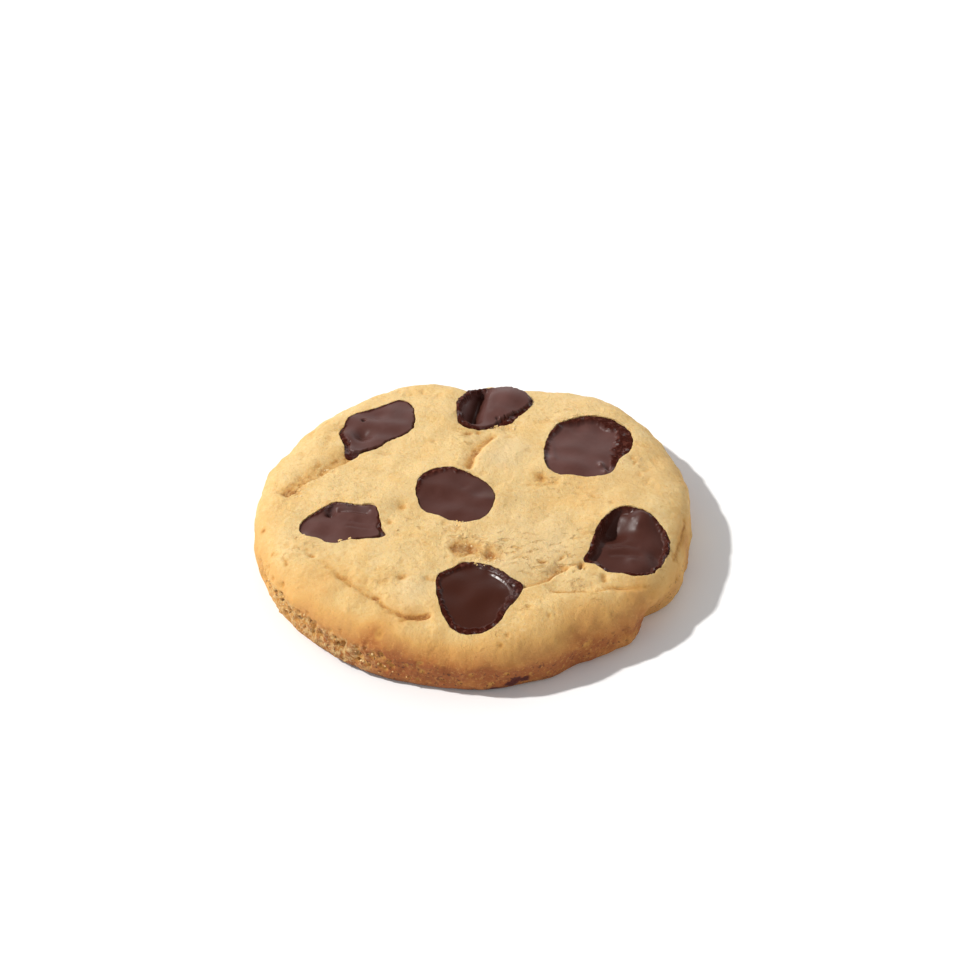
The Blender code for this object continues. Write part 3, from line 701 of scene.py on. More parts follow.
def curve_round(angle, turns, values):
    """A smooth value all the way round: a cubic between turns, its slope at each the mean of both sides."""
    gaps = np.diff(np.append(turns, turns[0] + 360))
    slopes = (np.roll(values, -1) - np.roll(values, 1)) / (gaps + np.roll(gaps, 1))
    turn = (np.degrees(angle) - turns[0]) % 360 + turns[0]
    this = np.clip(np.searchsorted(turns, turn, side="right") - 1, 0, len(turns) - 1)
    after = (this + 1) % len(turns)
    gap = gaps[this]
    t = (turn - turns[this]) / gap
    from_this = values[this] * (1 + 2 * t) * (1 - t) ** 2 + slopes[this] * gap * t * (1 - t) ** 2
    to_after = values[after] * t * t * (3 - 2 * t) - slopes[after] * gap * t * t * (1 - t)
    return from_this + to_after


def biscuit_radius(angle):
    """The mean radius, plus cosine waves round the edge, plus a bell for each bump and dent."""
    radius = np.full_like(angle, MEAN_RADIUS)
    for crests, height, crest_angle in BISCUIT_WAVES:
        radius += height * np.cos(crests * (angle - np.radians(crest_angle)))
    return radius + round_bells(angle, BISCUIT_BUMPS)


def dome_height(x, y):
    """A parabola from the crown to the rim, dropping over the shoulder by 1 - root(1 - t to the fullness)."""
    x = x - BISCUIT_MIDDLE[0]
    y = y - BISCUIT_MIDDLE[1]
    angle = np.arctan2(y, x)
    edge = biscuit_radius(angle)
    reach = np.hypot(x, y)
    rim = RIM_HEIGHT - RIM_LEAN * np.sin(angle) + round_bells(angle, RIM_SWELLS)
    dome = rim + (CROWN_HEIGHT - rim) * (1 - (reach / edge) ** 2)
    over_shoulder = np.clip(1 - (edge - reach) / SHOULDER_WIDTH, 0, 1)
    drop = 1 - np.sqrt(1 - over_shoulder**SHOULDER_FULLNESS)
    return dome - (dome - SIDE_TOP) * drop


def soft_relief(x, y):
    """The broad lumps and swellings that the dough and the chocolate in it share."""
    return lumps(x, y, TOP_LUMPS, LUMP_SEED) + spots(x, y, SWELLS)


def smooth_path(corners):
    """Points along a curve through the corners: each span is a cubic, with slopes from the corners beside it."""
    corners = np.array(corners, float)
    ends = np.vstack((2 * corners[0] - corners[1], corners, 2 * corners[-1] - corners[-2]))
    place = np.linspace(0, len(corners) - 1, PATH_POINTS)
    span = np.minimum(place.astype(int), len(corners) - 2)
    t = (place - span)[:, None]
    a, b, c, d = (ends[span + k] for k in range(4))
    return 0.5 * (2 * b + (c - a) * t + (2 * a - 5 * b + 4 * c - d) * t**2 + (3 * b - a - 3 * c + d) * t**3)


def beside_path(x, y, corners):
    """Each point's distance to the left of a curve (right is below 0), and how far along it, 0 to 1."""
    line = smooth_path(corners)
    away = np.full(len(x), FAR_AWAY)
    along = np.zeros(len(x))
    low = line.min(axis=0) - PATH_REACH
    high = line.max(axis=0) + PATH_REACH
    close = (x > low[0]) & (x < high[0]) & (y > low[1]) & (y < high[1])
    gap_x = x[close, None] - line[:, 0]
    gap_y = y[close, None] - line[:, 1]
    nearest = np.argmin(gap_x**2 + gap_y**2, axis=1)
    rows = np.arange(len(nearest))
    gap_x = gap_x[rows, nearest]
    gap_y = gap_y[rows, nearest]
    heading = np.gradient(line, axis=0)[nearest]
    side = np.where(heading[:, 0] * gap_y - heading[:, 1] * gap_x >= 0, 1.0, -1.0)
    away[close] = side * np.hypot(gap_x, gap_y)
    along[close] = nearest / (PATH_POINTS - 1)
    return away, along


def fold_relief(x, y, path, depth, widths, step=0.0, crease_shade=0.0, shade_reach=1.0, wander=0.0):
    """A valley with a bell on each side and a step up on the left that fades; also the painted shade in it,
    partly browning.
    """
    away, along = beside_path(x, y, path)
    flat = np.column_stack((x, y, np.zeros_like(x)))
    away = away + wander * grains(flat, WANDER_GRAIN)
    uneven = 1 + DEPTH_VARIES * wander * (grain(flat, *DEPTH_GRAIN) - DEPTH_BIAS)
    presence = ease(along / FOLD_ENDS) * ease((1 - along) / FOLD_ENDS) * uneven
    left = away >= 0
    valley = bell(away, np.where(left, *widths)) * presence
    raised = step * ease(away / (2 * min(widths)) + 0.5) * bell(np.maximum(away, 0), STEP_FADE) * presence
    recess_shade = crease_shade * bell(away, np.where(left, shade_reach, min(widths[1], SHADE_REACH_RIGHT))) * presence
    return raised - depth * valley, recess_shade


def slit_shares(x, y):
    """How far into a slit each point lies, and how much painted shade, with some browning, darkens it there:
    bells along and across each slit.
    """
    deep = np.zeros_like(x)
    crease_shade = np.zeros_like(x)
    for middle_x, middle_y, length, turn, darkness in SLITS:
        turn = np.radians(turn)
        along = (x - middle_x) * np.cos(turn) + (y - middle_y) * np.sin(turn)
        across = (y - middle_y) * np.cos(turn) - (x - middle_x) * np.sin(turn)
        share = bell(2 * along / length, 1) * bell(across, SLIT_WIDTH)
        deep += share * (0.5 + 0.5 * darkness)
        crease_shade += share * darkness
    return deep, crease_shade


def square_to_disc(across, along):
    """Ring = the larger distance from the middle; angle = an eighth turn times the smaller over the larger."""
    ring = np.maximum(np.abs(across), np.abs(along))
    wide = np.abs(across) >= np.abs(along)
    longer = np.where(wide, across, along)
    shorter = np.where(wide, along, across)
    lean = np.pi / 4 * shorter / np.where(longer == 0, 1, longer)
    angle = np.where(wide, lean, np.pi / 2 - lean) + np.where(longer < 0, np.pi, 0)
    return ring, angle


def outline_gap(x, y, piece):
    """Each point's distance outside a piece's outline (inside is below 0), and its angle round the centre."""
    x = x - piece["centre"][0]
    y = y - piece["centre"][1]
    angle = np.arctan2(y, x)
    return np.hypot(x, y) - piece_radius(angle, piece), angle


def piece_radius(angle, piece):
    """The outline's distance from the centre, curved from corner to corner, with a fine ragged edge."""
    turns, reaches = np.array(piece["corners"], float).T
    ring = np.column_stack((np.cos(angle), np.sin(angle), np.full_like(angle, piece["centre"][0])))
    return curve_round(angle, turns, reaches) + piece["ragged"] * grains(ring, RAGGED_GRAIN)


def grid_faces(rows, columns, joined):
    """Corner numbers of the quads of a grid numbered row by row; joined closes each row on itself."""
    row = np.arange(rows - 1)[:, None] * columns
    column = np.arange(columns if joined else columns - 1)[None, :]
    after = (column + 1) % columns
    corners = (row + column, row + after, row + columns + after, row + columns + column)
    return np.stack(corners, axis=-1).reshape(-1, 4)


def closing_fans(rings, turns):
    """Triangles that close a grid's first and last ring round two points, numbered after the grid's own."""
    turn = np.arange(turns)
    after = np.roll(turn, -1)
    last = (rings - 1) * turns
    middle = np.full_like(turn, rings * turns)
    first_fan = np.column_stack((middle, turn, after))
    return np.vstack((first_fan, np.column_stack((middle + 1, last + after, last + turn))))


def new_piece(name, points, quads, triangles, values, material, stands_for=()):
    """A piece from points in millimetres, quads and triangles, with its values stored at the points.

    It is shaded smooth but for edges that turn by more than the crisp angle, such as the lips of the pockets.
    """
    mesh = bpy.data.meshes.new(name)
    mesh.vertices.add(len(points))
    mesh.vertices.foreach_set("co", (points * MM).astype(np.float32).ravel())
    loops = np.concatenate((quads.ravel(), triangles.ravel())).astype(np.int32)
    sides = np.concatenate((np.full(len(quads), 4), np.full(len(triangles), 3)))
    starts = np.concatenate(([0], np.cumsum(sides)[:-1])).astype(np.int32)
    mesh.loops.add(len(loops))
    mesh.loops.foreach_set("vertex_index", loops)
    mesh.polygons.add(len(sides))
    mesh.polygons.foreach_set("loop_start", starts)
    mesh.update(calc_edges=True)
    mesh.validate()
    mesh.shade_smooth()
    mesh.set_sharp_from_angle(angle=np.radians(CRISP_ANGLE))
    for label, value in values.items():
        layer = mesh.attributes.new(label, "FLOAT", "POINT")
        layer.data.foreach_set("value", value.astype(np.float32))
    piece = bpy.data.objects.new(name, mesh)
    bpy.context.scene.collection.objects.link(piece)
    mesh.materials.append(material)
    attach(piece, "root")
    if stands_for:
        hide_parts(*stands_for)


def side_spots(angle, height, listed):
    """A sum of bells over the side, for spots given as (angle, height, half width, strength)."""
    total = np.zeros_like(angle)
    for spot_angle, spot_height, half_width, strength in listed:
        along = turn_from(spot_angle, angle) * MEAN_RADIUS
        total += strength * bell(np.hypot(along, height - spot_height), half_width)
    return total


def crust_holes():
    """Angle, height, half width and depth of each hole in the broken crust, drawn at random."""
    chance = np.random.default_rng(HOLE_SEED)
    share = chance.uniform(0, 1, CRUST_HOLES)
    angle = CRUST_ANGLES[0] + (CRUST_ANGLES[1] - CRUST_ANGLES[0]) * share
    height = HOLE_HEIGHTS[0] + (HOLE_HEIGHTS[1] - HOLE_HEIGHTS[0]) * share
    height += chance.normal(0, HOLE_SCATTER, CRUST_HOLES)
    width = chance.uniform(*HOLE_WIDTHS, CRUST_HOLES)
    depth = chance.uniform(*HOLE_DEPTHS, CRUST_HOLES)
    return np.column_stack((angle, height, width, depth))


def side_specks():
    """Angle, height, half width and strength of the small dark pits over the baked side, drawn at random."""
    chance = np.random.default_rng(SPECK_SEED)
    ranges = ((-180, 180), SPECK_HEIGHTS, SPECK_WIDTHS, SPECK_STRENGTHS)
    return np.column_stack([chance.uniform(*limits, SIDE_SPECKS) for limits in ranges])


def melted_share(angle, height, points):
    """The melted smear: a bell along times a bell up for each spot, summed, frayed by grain and cut off."""
    melt = np.zeros_like(angle)
    for spot_angle, spot_height, wide, tall in MELT_SPOTS:
        melt += bell(turn_from(spot_angle, angle) * MEAN_RADIUS, wide) * bell(height - spot_height, tall)
    return ease((melt + grains(points, MELT_GRAIN) - MELT_EDGE) / MELT_EASE)


def biscuit_surface():
    """Points and values of the biscuit: ring and angle carry a profile over the dome, shoulder and side.

    The shoulder and the foot are walked by a turn from 0 to 90 degrees. Relief is added along the surface's
    facing, and points near each piece's outline are drawn to it, so that the lip of its pocket is sharp.
    """
    side = np.linspace(-1, 1, BISCUIT_CELLS + 1)
    across, along = np.meshgrid(side, side)
    ring, angle = square_to_disc(across.ravel(), along.ravel())
    edge = biscuit_radius(angle)
    shoulder_share = np.clip((ring - TOP_SHARE) / (SHOULDER_SHARE - TOP_SHARE), 0, 1)
    side_share = np.clip((ring - SHOULDER_SHARE) / (SIDE_SHARE - SHOULDER_SHARE), 0, 1)
    foot_turn = np.pi / 2 * np.clip((ring - SIDE_SHARE) / (1 - SIDE_SHARE), 0, 1)
    facing_up = np.cos(np.pi / 2 * shoulder_share)
    facing_out = np.sin(np.pi / 2 * shoulder_share) * np.cos(foot_turn)
    reach = (edge - SHOULDER_WIDTH) * np.minimum(ring / TOP_SHARE, 1)
    reach += SHOULDER_WIDTH * np.sin(np.pi / 2 * shoulder_share)
    x = BISCUIT_MIDDLE[0] + reach * np.cos(angle)
    y = BISCUIT_MIDDLE[1] + reach * np.sin(angle)
    for piece in CHOCOLATES.values():
        gap, turn = outline_gap(x, y, piece)
        pull = -LIP_PULL * np.tanh(gap / LIP_PULL) * bell(gap, LIP_REACH) * facing_up
        x += pull * np.cos(turn)
        y += pull * np.sin(turn)

    # Painted shade, with some browning, darkens the slits, pits and folds
    deep, recess_shade = slit_shares(x, y)
    recess_shade += spots(x, y, PITS, 4)
    creases = np.zeros_like(x)
    for fold in FOLDS:
        valley, crease_shade = fold_relief(x, y, **fold)
        creases += valley
        recess_shade += crease_shade
    relief = soft_relief(x, y) + spots(x, y, PITS) + creases - SLIT_DEPTH * deep
    crumbled = np.clip(spots(x, y, CRUMBLED), 0, 1) * facing_up
    height = dome_height(x, y) + facing_up * relief
    height -= side_share * (SIDE_TOP - SIDE_BOTTOM) + SIDE_BOTTOM * np.sin(foot_turn)

    degrees = np.degrees(angle)
    degrees = np.where(degrees > 180, degrees - 360, degrees)
    crust = between(degrees, CRUST_ANGLES, CRUST_FADES) * between(height, CRUST_HEIGHTS, CRUST_HEIGHT_FADES)
    holes = side_spots(angle, height, crust_holes())
    pits = side_spots(angle, height, SIDE_PITS) + side_spots(angle, height, side_specks())
    push = lumps(edge * angle, height, SIDE_LUMPS, LUMP_SEED + 1) + CREASE_OUTWARD * creases
    push -= HOLE_DEPTH * np.minimum(holes, DEEPEST_HOLE) + PIT_DEPTH * pits
    push = facing_out * push - FOOT_TUCK * (1 - np.cos(foot_turn))
    push -= round_bells(angle, UNDERCUTS) * ease((UNDERCUT_TOP - height) / (UNDERCUT_TOP - UNDERCUT_BOTTOM))
    x += push * np.cos(angle)
    y += push * np.sin(angle)

    points = np.column_stack((x, y, height))
    pocks = ease((grains(points, POCK_GRAIN) - POCK_START) / POCK_EASE)
    pocks *= ease(grain(points, *POCK_PATCHES) + POCK_PATCH_SHARE)
    broken = grains(points, BROKEN_GRAIN)
    rough = np.clip(crumbled + crust, 0, 1)
    bulk = grains(points, FINE_GRAIN) - POCK_DEPTH * pocks
    bulk += (CRUMBLED_ROUGHNESS * crumbled + CRUST_ROUGHNESS * crust) * broken
    bulk *= ease((height - FOOT_SMOOTH) / FOOT_SMOOTH_EASE)
    outward = np.column_stack((np.cos(angle) * facing_out, np.sin(angle) * facing_out, facing_up))
    points += bulk[:, None] * outward
    depth = np.zeros_like(x)
    for piece in CHOCOLATES.values():
        depth += POCKET_DEPTH * ease(-outline_gap(points[:, 0], points[:, 1], piece)[0] / POCKET_WALL)
    points[:, 2] -= depth * (facing_up > POCKET_FACING)
    points[:, 2] = np.where(ring > 1 - EDGE_SLACK, 0, np.maximum(points[:, 2], LOWEST_SIDE))

    warmth = curve_round(angle, *np.array(EDGE_WARMTH, float).T)
    behind = ease(np.sin(angle) / BEHIND_EASE)
    low = ease((LOW_TOP - height + grains(points, LOW_GRAIN)) / LOW_EASE) * facing_out
    low_warm = low * (np.clip(warmth, *LOW_WARMTH) * (1 - behind) + BEHIND_WARMTH * behind)
    shoulder = ease((shoulder_share - SHOULDER_START) / SHOULDER_EASE)
    bake_and_shade = (SHOULDER_BAKE * shoulder + EARLY_BAKE * ease((ring - EARLY_START) / EARLY_EASE)) * warmth
    # The warm spots add browning, and painted shade where the light falls off over the right of the top
    bake_and_shade += LOW_BAKE * low_warm + BEHIND_BAKE * behind * low + spots(x, y, WARM_AND_SHADE)
    # The dark foot: its burnt base crust, partly painted contact shadow where it meets the table
    burnt_and_shaded = ease((DARK_FOOT_TOP - height + grains(points, DARK_FOOT_GRAIN)) / DARK_FOOT_EASE)
    burnt_and_shaded *= between(degrees, DARK_FOOT_ANGLES, DARK_FOOT_FADES)
    # More painted shade in the crust's holes, the side's pits, the pocks and the hollows of broken dough
    recess_shade += HOLE_SHADE * np.minimum(holes * facing_out, 1) + PIT_SHADE * pits * facing_out
    recess_shade += POCK_SHADE * pocks + CRUST_HOLLOW_SHADE * ease(-broken / HOLLOW_EASE) * rough
    values = dict(
        bake_and_shade=np.clip(bake_and_shade, 0, 1),
        recess_shade=np.clip(recess_shade, 0, 1),
        pale=np.clip(spots(x, y, PALE), 0, 1) * facing_up,
        rough=rough * ease(broken / RAISED_EASE),
        crumbly=np.clip(CRUMBLY_TOP * crumbled + crust, 0, 1),
        wrinkled=np.clip(spots(x, y, WRINKLED), 0, 1) * facing_up,
        melt=melted_share(angle, height, points) * (ring > SHOULDER_SHARE),
        side=(1 - facing_up) * low_warm,
        burnt_and_shaded=burnt_and_shaded * (ring > SHOULDER_SHARE),
    )
    return points, values


def boundary_ring():
    """Numbers of the grid's edge points, in turn round the square."""
    side = BISCUIT_CELLS
    count = side + 1
    step = np.arange(side)
    return np.concatenate((step, step * count + side, side * count + side - step, (side - step) * count))


def add_biscuit(material):
    """The biscuit's one closed surface, with rings that carry its foot in under it to the middle."""
    points, values = biscuit_surface()
    count = BISCUIT_CELLS + 1
    quads = grid_faces(count, count, False)
    foot = boundary_ring()
    rim = points[foot]
    share = 1 - np.arange(1, UNDERSIDE_RINGS + 1)[:, None] / (UNDERSIDE_RINGS + 1)
    under_x = rim[:, 0] * share
    under_y = rim[:, 1] * share
    under = np.column_stack((under_x.ravel(), under_y.ravel(), np.zeros(under_x.size)))
    rings = np.concatenate((foot, len(points) + np.arange(len(under)))).reshape(-1, len(foot))
    strip = rings.ravel()[grid_faces(UNDERSIDE_RINGS + 1, len(foot), True)]
    last = rings[-1]
    middle = len(points) + len(under)
    fan = np.column_stack((np.full(len(last), middle), np.roll(last, -1), last))
    for label, value in values.items():
        beneath = UNDERSIDE_BAKE if label == "bake_and_shade" else 0.0
        values[label] = np.append(value, np.full(len(under) + 1, beneath))
    points = np.vstack((points, under, [[0, 0, 0]]))
    quads = np.vstack((quads, strip[:, ::-1]))
    new_piece("baked_biscuit", points, quads, fan, values, material, ("biscuit",))


def chocolate_surface(piece):
    """Points and values of one piece: rings run out over its top and its edge, down its wall and in underneath.

    The top is the dough's own height plus the piece's level, a rim eased up to the outline, its hollows and
    ridges, and grain where the edge is broken.
    """
    ring = np.linspace(0, 1, CHOCOLATE_RINGS + 1)[1:]
    turn = np.linspace(0, 2 * np.pi, CHOCOLATE_TURNS, endpoint=False)
    ring = np.repeat(ring, CHOCOLATE_TURNS)
    angle = np.tile(turn, CHOCOLATE_RINGS)
    centre_x, centre_y = piece["centre"]
    round_it = np.column_stack((np.cos(angle), np.sin(angle), np.full_like(angle, centre_y)))
    edge = piece_radius(angle, piece) + grains(round_it, EDGE_FRAY)
    down = np.clip((ring - TOP_RINGS_SHARE) / (1 - TOP_RINGS_SHARE), 0, 1)
    outward = 1 - (1 - np.clip(ring / TOP_RINGS_SHARE, 0, 1)) ** RING_CROWDING
    reach = edge * outward - np.interp(down, WALL_STEPS, WALL_INSETS)
    near_x = reach * np.cos(angle)
    near_y = reach * np.sin(angle)
    x = centre_x + near_x
    y = centre_y + near_y

    turns, widths, heights = np.array(piece["rims"], float).T
    width = curve_round(angle, turns, widths) * (1 + grains(round_it, RIM_GRAIN))
    inward = np.maximum(edge - reach, 0) * (down == 0)
    band = ease((width - inward) / piece["soft"])
    own = spots(near_x, near_y, piece["forms"])
    for groove in piece["grooves"]:
        own += fold_relief(near_x, near_y, **groove)[0]
    own *= 1 - RIM_COVERS * band
    flat = np.column_stack((x, y, np.zeros_like(x)))
    top = dome_height(x, y) + soft_relief(x, y) + piece["proud"] + curve_round(angle, turns, heights) * band
    top += own + grains(flat, SATIN_GRAIN) + grains(flat, BREAK_GRAIN) * band
    top -= EDGE_DROP * ease(1 - inward / EDGE_DROP_WIDTH) * (1 - down)
    bottom = dome_height(np.array([centre_x]), np.array([centre_y]))[0] - CHOCOLATE_DEPTH
    height = top + (bottom - top) * np.interp(down, WALL_STEPS, WALL_FALLS)
    middles = [[centre_x, centre_y, height[:CHOCOLATE_TURNS].mean()], [centre_x, centre_y, bottom]]
    points = np.vstack((np.column_stack((x, y, height)), middles))

    # Painted shade: deep hollows lose their bloom and painted reflection and turn darker
    hollow_shade = CHOCOLATE_HOLLOW_SHADE * ease((-own - CHOCOLATE_HOLLOW_SHADE_START) / CHOCOLATE_HOLLOW_SHADE_EASE)
    shine = np.clip(spots(near_x, near_y, piece["gloss"]), 0, 1) * (down == 0)
    values = dict(
        rough=np.append(np.where(down > 0, 1, band), [0, 1]),
        bloom_and_sheen=np.append(piece["bloom_and_sheen"] * (1 - hollow_shade), [piece["bloom_and_sheen"], 0]),
        gloss=np.append(shine, [0, 0]),
    )
    return points, values


def add_chocolates(material):
    """The seven pieces, each closed by a fan of triangles in the middle of its top and of its bottom."""
    quads = grid_faces(CHOCOLATE_RINGS, CHOCOLATE_TURNS, True)[:, ::-1]
    fans = closing_fans(CHOCOLATE_RINGS, CHOCOLATE_TURNS)
    for name, piece in CHOCOLATES.items():
        points, values = chocolate_surface(piece)
        new_piece("glossy_" + name, points, quads, fans, values, material, (name,))


def crumb_places():
    """Middle and size of every crumb: in groups on the top, and scattered over the broken crust."""
    chance = np.random.default_rng(CRUMB_SEED)
    places = []
    for group_x, group_y, spread, number in CRUMB_GROUPS:
        x = group_x + spread * chance.uniform(-1, 1, number)
        y = group_y + spread * chance.uniform(-1, 1, number) * CRUMB_GROUP_SQUASH
        creases = sum(fold_relief(x, y, **fold)[0] for fold in FOLDS)
        height = dome_height(x, y) + soft_relief(x, y) + spots(x, y, PITS) + creases
        places.append(np.column_stack((x, y, height)))
    share = chance.uniform(0, 1, CRUST_CRUMBS)
    angle = np.radians(CRUMB_ANGLES[0] + (CRUMB_ANGLES[1] - CRUMB_ANGLES[0]) * share)
    height = CRUMB_HEIGHTS[0] + (CRUMB_HEIGHTS[1] - CRUMB_HEIGHTS[0]) * share
    height = np.clip(height + chance.normal(0, CRUMB_SCATTER, CRUST_CRUMBS), *CRUMB_HEIGHT_LIMITS)
    reach = biscuit_radius(angle) - CRUMB_INSET
    x = BISCUIT_MIDDLE[0] + reach * np.cos(angle)
    y = BISCUIT_MIDDLE[1] + reach * np.sin(angle)
    places = np.vstack((*places, np.column_stack((x, y, height))))
    sizes = chance.uniform(*CRUMB_SIZES, len(places))
    places[:, 2] -= CRUMB_SINK * sizes * (places[:, 2] > CRUST_HEIGHTS[1])
    inside = np.zeros(len(places), bool)
    for piece in CHOCOLATES.values():
        inside |= outline_gap(places[:, 0], places[:, 1], piece)[0] < -CRUMB_CLEAR
    return places[~inside], sizes[~inside]


def add_crumbs(material):
    """All the crumbs as one piece: each is a small closed ball of rings and turns, swollen by grain."""
    places, sizes = crumb_places()
    polar = np.linspace(0, np.pi, CRUMB_RINGS + 2)[1:-1, None]
    turn = np.linspace(0, 2 * np.pi, CRUMB_TURNS, endpoint=False)[None, :]
    sides = (np.sin(polar) * np.cos(turn), np.sin(polar) * np.sin(turn), np.cos(polar) + 0 * turn)
    ball = np.vstack((np.stack(sides, axis=-1).reshape(-1, 3), [[0, 0, 1], [0, 0, -1]]))
    smooth = ball[None] * sizes[:, None, None] + places[:, None]
    swell = 1 + grains(smooth.reshape(-1, 3), CRUMB_GRAIN).reshape(len(places), -1, 1)
    points = ball[None] * swell * sizes[:, None, None] + places[:, None]
    shift = np.arange(len(places))[:, None, None] * len(ball)
    quads = grid_faces(CRUMB_RINGS, CRUMB_TURNS, True)[:, ::-1] + shift
    fans = closing_fans(CRUMB_RINGS, CRUMB_TURNS) + shift
    points = points.reshape(-1, 3)
    new_piece("loose_crumbs", points, quads.reshape(-1, 4), fans.reshape(-1, 3), {}, material)


def connect(tree, made, inputs):
    """Gives each named input of a node its value, or links it where the value is another node's output."""
    for name, value in inputs.items():
        if isinstance(value, bpy.types.NodeSocket):
            tree.links.new(value, made.inputs[name])
        else:
            made.inputs[name].default_value = value


def node(tree, kind, inputs=None, **settings):
    """A shader node of this kind, with its settings and the values or links of its inputs."""
    made = tree.nodes.new(kind)
    for name, value in settings.items():
        setattr(made, name, value)
    connect(tree, made, inputs or {})
    return made


def attribute(tree, name):
    """A value stored at the piece's points."""
    return node(tree, "ShaderNodeAttribute", attribute_name=name).outputs["Fac"]


def noise(tree, place, scale, detail, roughness):
    """Noise from 0 to 1, about 0.5 in the mean."""
    inputs = {"Vector": place, "Scale": scale, "Detail": detail, "Roughness": roughness}
    return node(tree, "ShaderNodeTexNoise", inputs).outputs["Fac"]


def calculate(tree, operation, *values):
    """One sum of values, by its operation's name."""
    return node(tree, "ShaderNodeMath", dict(enumerate(values)), operation=operation).outputs[0]


def times(tree, first, second):
    """Two values multiplied."""
    return calculate(tree, "MULTIPLY", first, second)


def mix(tree, share, first, second):
    """A colour between two, by share."""
    return node(tree, "ShaderNodeMix", {0: share, 6: first, 7: second}, data_type="RGBA").outputs[2]


def spread(tree, value, low, high, to_low=0.0, to_high=1.0):
    """value eased from low..high to to_low..to_high."""
    inputs = {"Value": value, "From Min": low, "From Max": high, "To Min": to_low, "To Max": to_high}
    return node(tree, "ShaderNodeMapRange", inputs, interpolation_type="SMOOTHSTEP").outputs["Result"]


def ramp(tree, share, stops):
    """A colour read between stops, given as (position, colour) from 0 to 1."""
    made = node(tree, "ShaderNodeValToRGB", {"Fac": share})
    elements = made.color_ramp.elements
    for element, (position, colour) in zip(elements, (stops[0], stops[-1])):
        element.position = position
        element.color = colour
    for position, colour in stops[1:-1]:
        elements.new(position).color = colour
    return made.outputs["Color"]


def bump(tree, height, strength, distance, below=None, invert=False):
    """Small relief from a height; below is the relief that it lies on, and inverted heights are dents."""
    inputs = {"Height": height, "Strength": strength, "Distance": distance}
    if below is not None:
        inputs["Normal"] = below
    return node(tree, "ShaderNodeBump", inputs, invert=invert).outputs["Normal"]


def new_material(name):
    material = bpy.data.materials.new(name)
    material.use_nodes = True
    return material, material.node_tree, material.node_tree.nodes["Principled BSDF"]


def dough_material():
    """Baked dough: gold on top to brown down the side, darker in cracks and pores by painted shade, cream where
    floury, with specks.
    """
    material, tree, shader = new_material("baked_dough_crust")
    place = node(tree, "ShaderNodeTexCoord").outputs["Object"]
    broad = noise(tree, place, *BROAD_NOISE)
    fine = noise(tree, place, *FINE_NOISE)
    specks = noise(tree, place, *SPECK_NOISE)
    sandy = noise(tree, place, *SANDY_NOISE)
    porous = noise(tree, place, *PORE_NOISE)
    turn = (0, 0, -np.radians(WRINKLE_TURN))
    stretched = {"Vector": place, "Rotation": turn, "Scale": (1, WRINKLE_STRETCH, 1)}
    stretched = node(tree, "ShaderNodeMapping", stretched).outputs["Vector"]
    wrinkles = spread(tree, noise(tree, stretched, *WRINKLE_NOISE), *WRINKLE_RANGE)
    wrinkles = times(tree, wrinkles, attribute(tree, "wrinkled"))
    bake_and_shade = attribute(tree, "bake_and_shade")
    recess_shade = attribute(tree, "recess_shade")
    crumbly = attribute(tree, "crumbly")
    melt = attribute(tree, "melt")
    uneven = spread(tree, fine, *UNEVEN_RANGE)
    marks = {
        "tan grains": spread(tree, sandy, *TAN_RANGE),
        "cream grains": times(tree, spread(tree, sandy, *CREAM_RANGE), spread(tree, bake_and_shade, *UNBAKED_RANGE)),
        "floury": attribute(tree, "pale"),
        "gold crack shade": times(tree, spread(tree, recess_shade, *GOLD_CRACK_RANGE), uneven),
        "brown crack shade": times(tree, spread(tree, recess_shade, *BROWN_CRACK_RANGE), uneven),
        "wrinkles": wrinkles,
        "pore shade": times(tree, spread(tree, porous, *PORE_RANGE), crumbly),
        "pore rims": times(tree, spread(tree, porous, *PORE_RIM_RANGE), crumbly),
        "specks": spread(tree, specks, *SPECK_RANGE),
        "side specks": times(tree, spread(tree, specks, *SIDE_SPECK_RANGE), attribute(tree, "side")),
        "raised crumb": attribute(tree, "rough"),
        "burnt and shaded foot": attribute(tree, "burnt_and_shaded"),
        "melted smear": melt,
    }

    baked = ramp(tree, calculate(tree, "ADD", bake_and_shade, spread(tree, broad, *BAKE_WAVE_RANGE)), BAKE_STOPS)
    blotched = mix(tree, times(tree, spread(tree, broad, *BLOTCH_RANGE), BLOTCH_STRENGTH), baked, GOLD_DOUGH)
    colour = mix(tree, bake_and_shade, blotched, baked)
    for mark, strength, paint in DOUGH_COATS:
        colour = mix(tree, times(tree, marks[mark], strength), colour, paint)

    soft = bump(tree, fine, *SOFT_BUMP)
    pitted = bump(tree, porous, times(tree, crumbly, PORE_BUMP[0]), PORE_BUMP[1], soft, True)
    inputs = {
        "Base Color": colour,
        "Roughness": spread(tree, melt, 0.0, 1.0, DOUGH_ROUGHNESS, MELTED_ROUGHNESS),
        "Normal": bump(tree, wrinkles, *WRINKLE_BUMP, pitted, True),
        **DOUGH_SHADER,
    }
    connect(tree, shader, inputs)
    return material


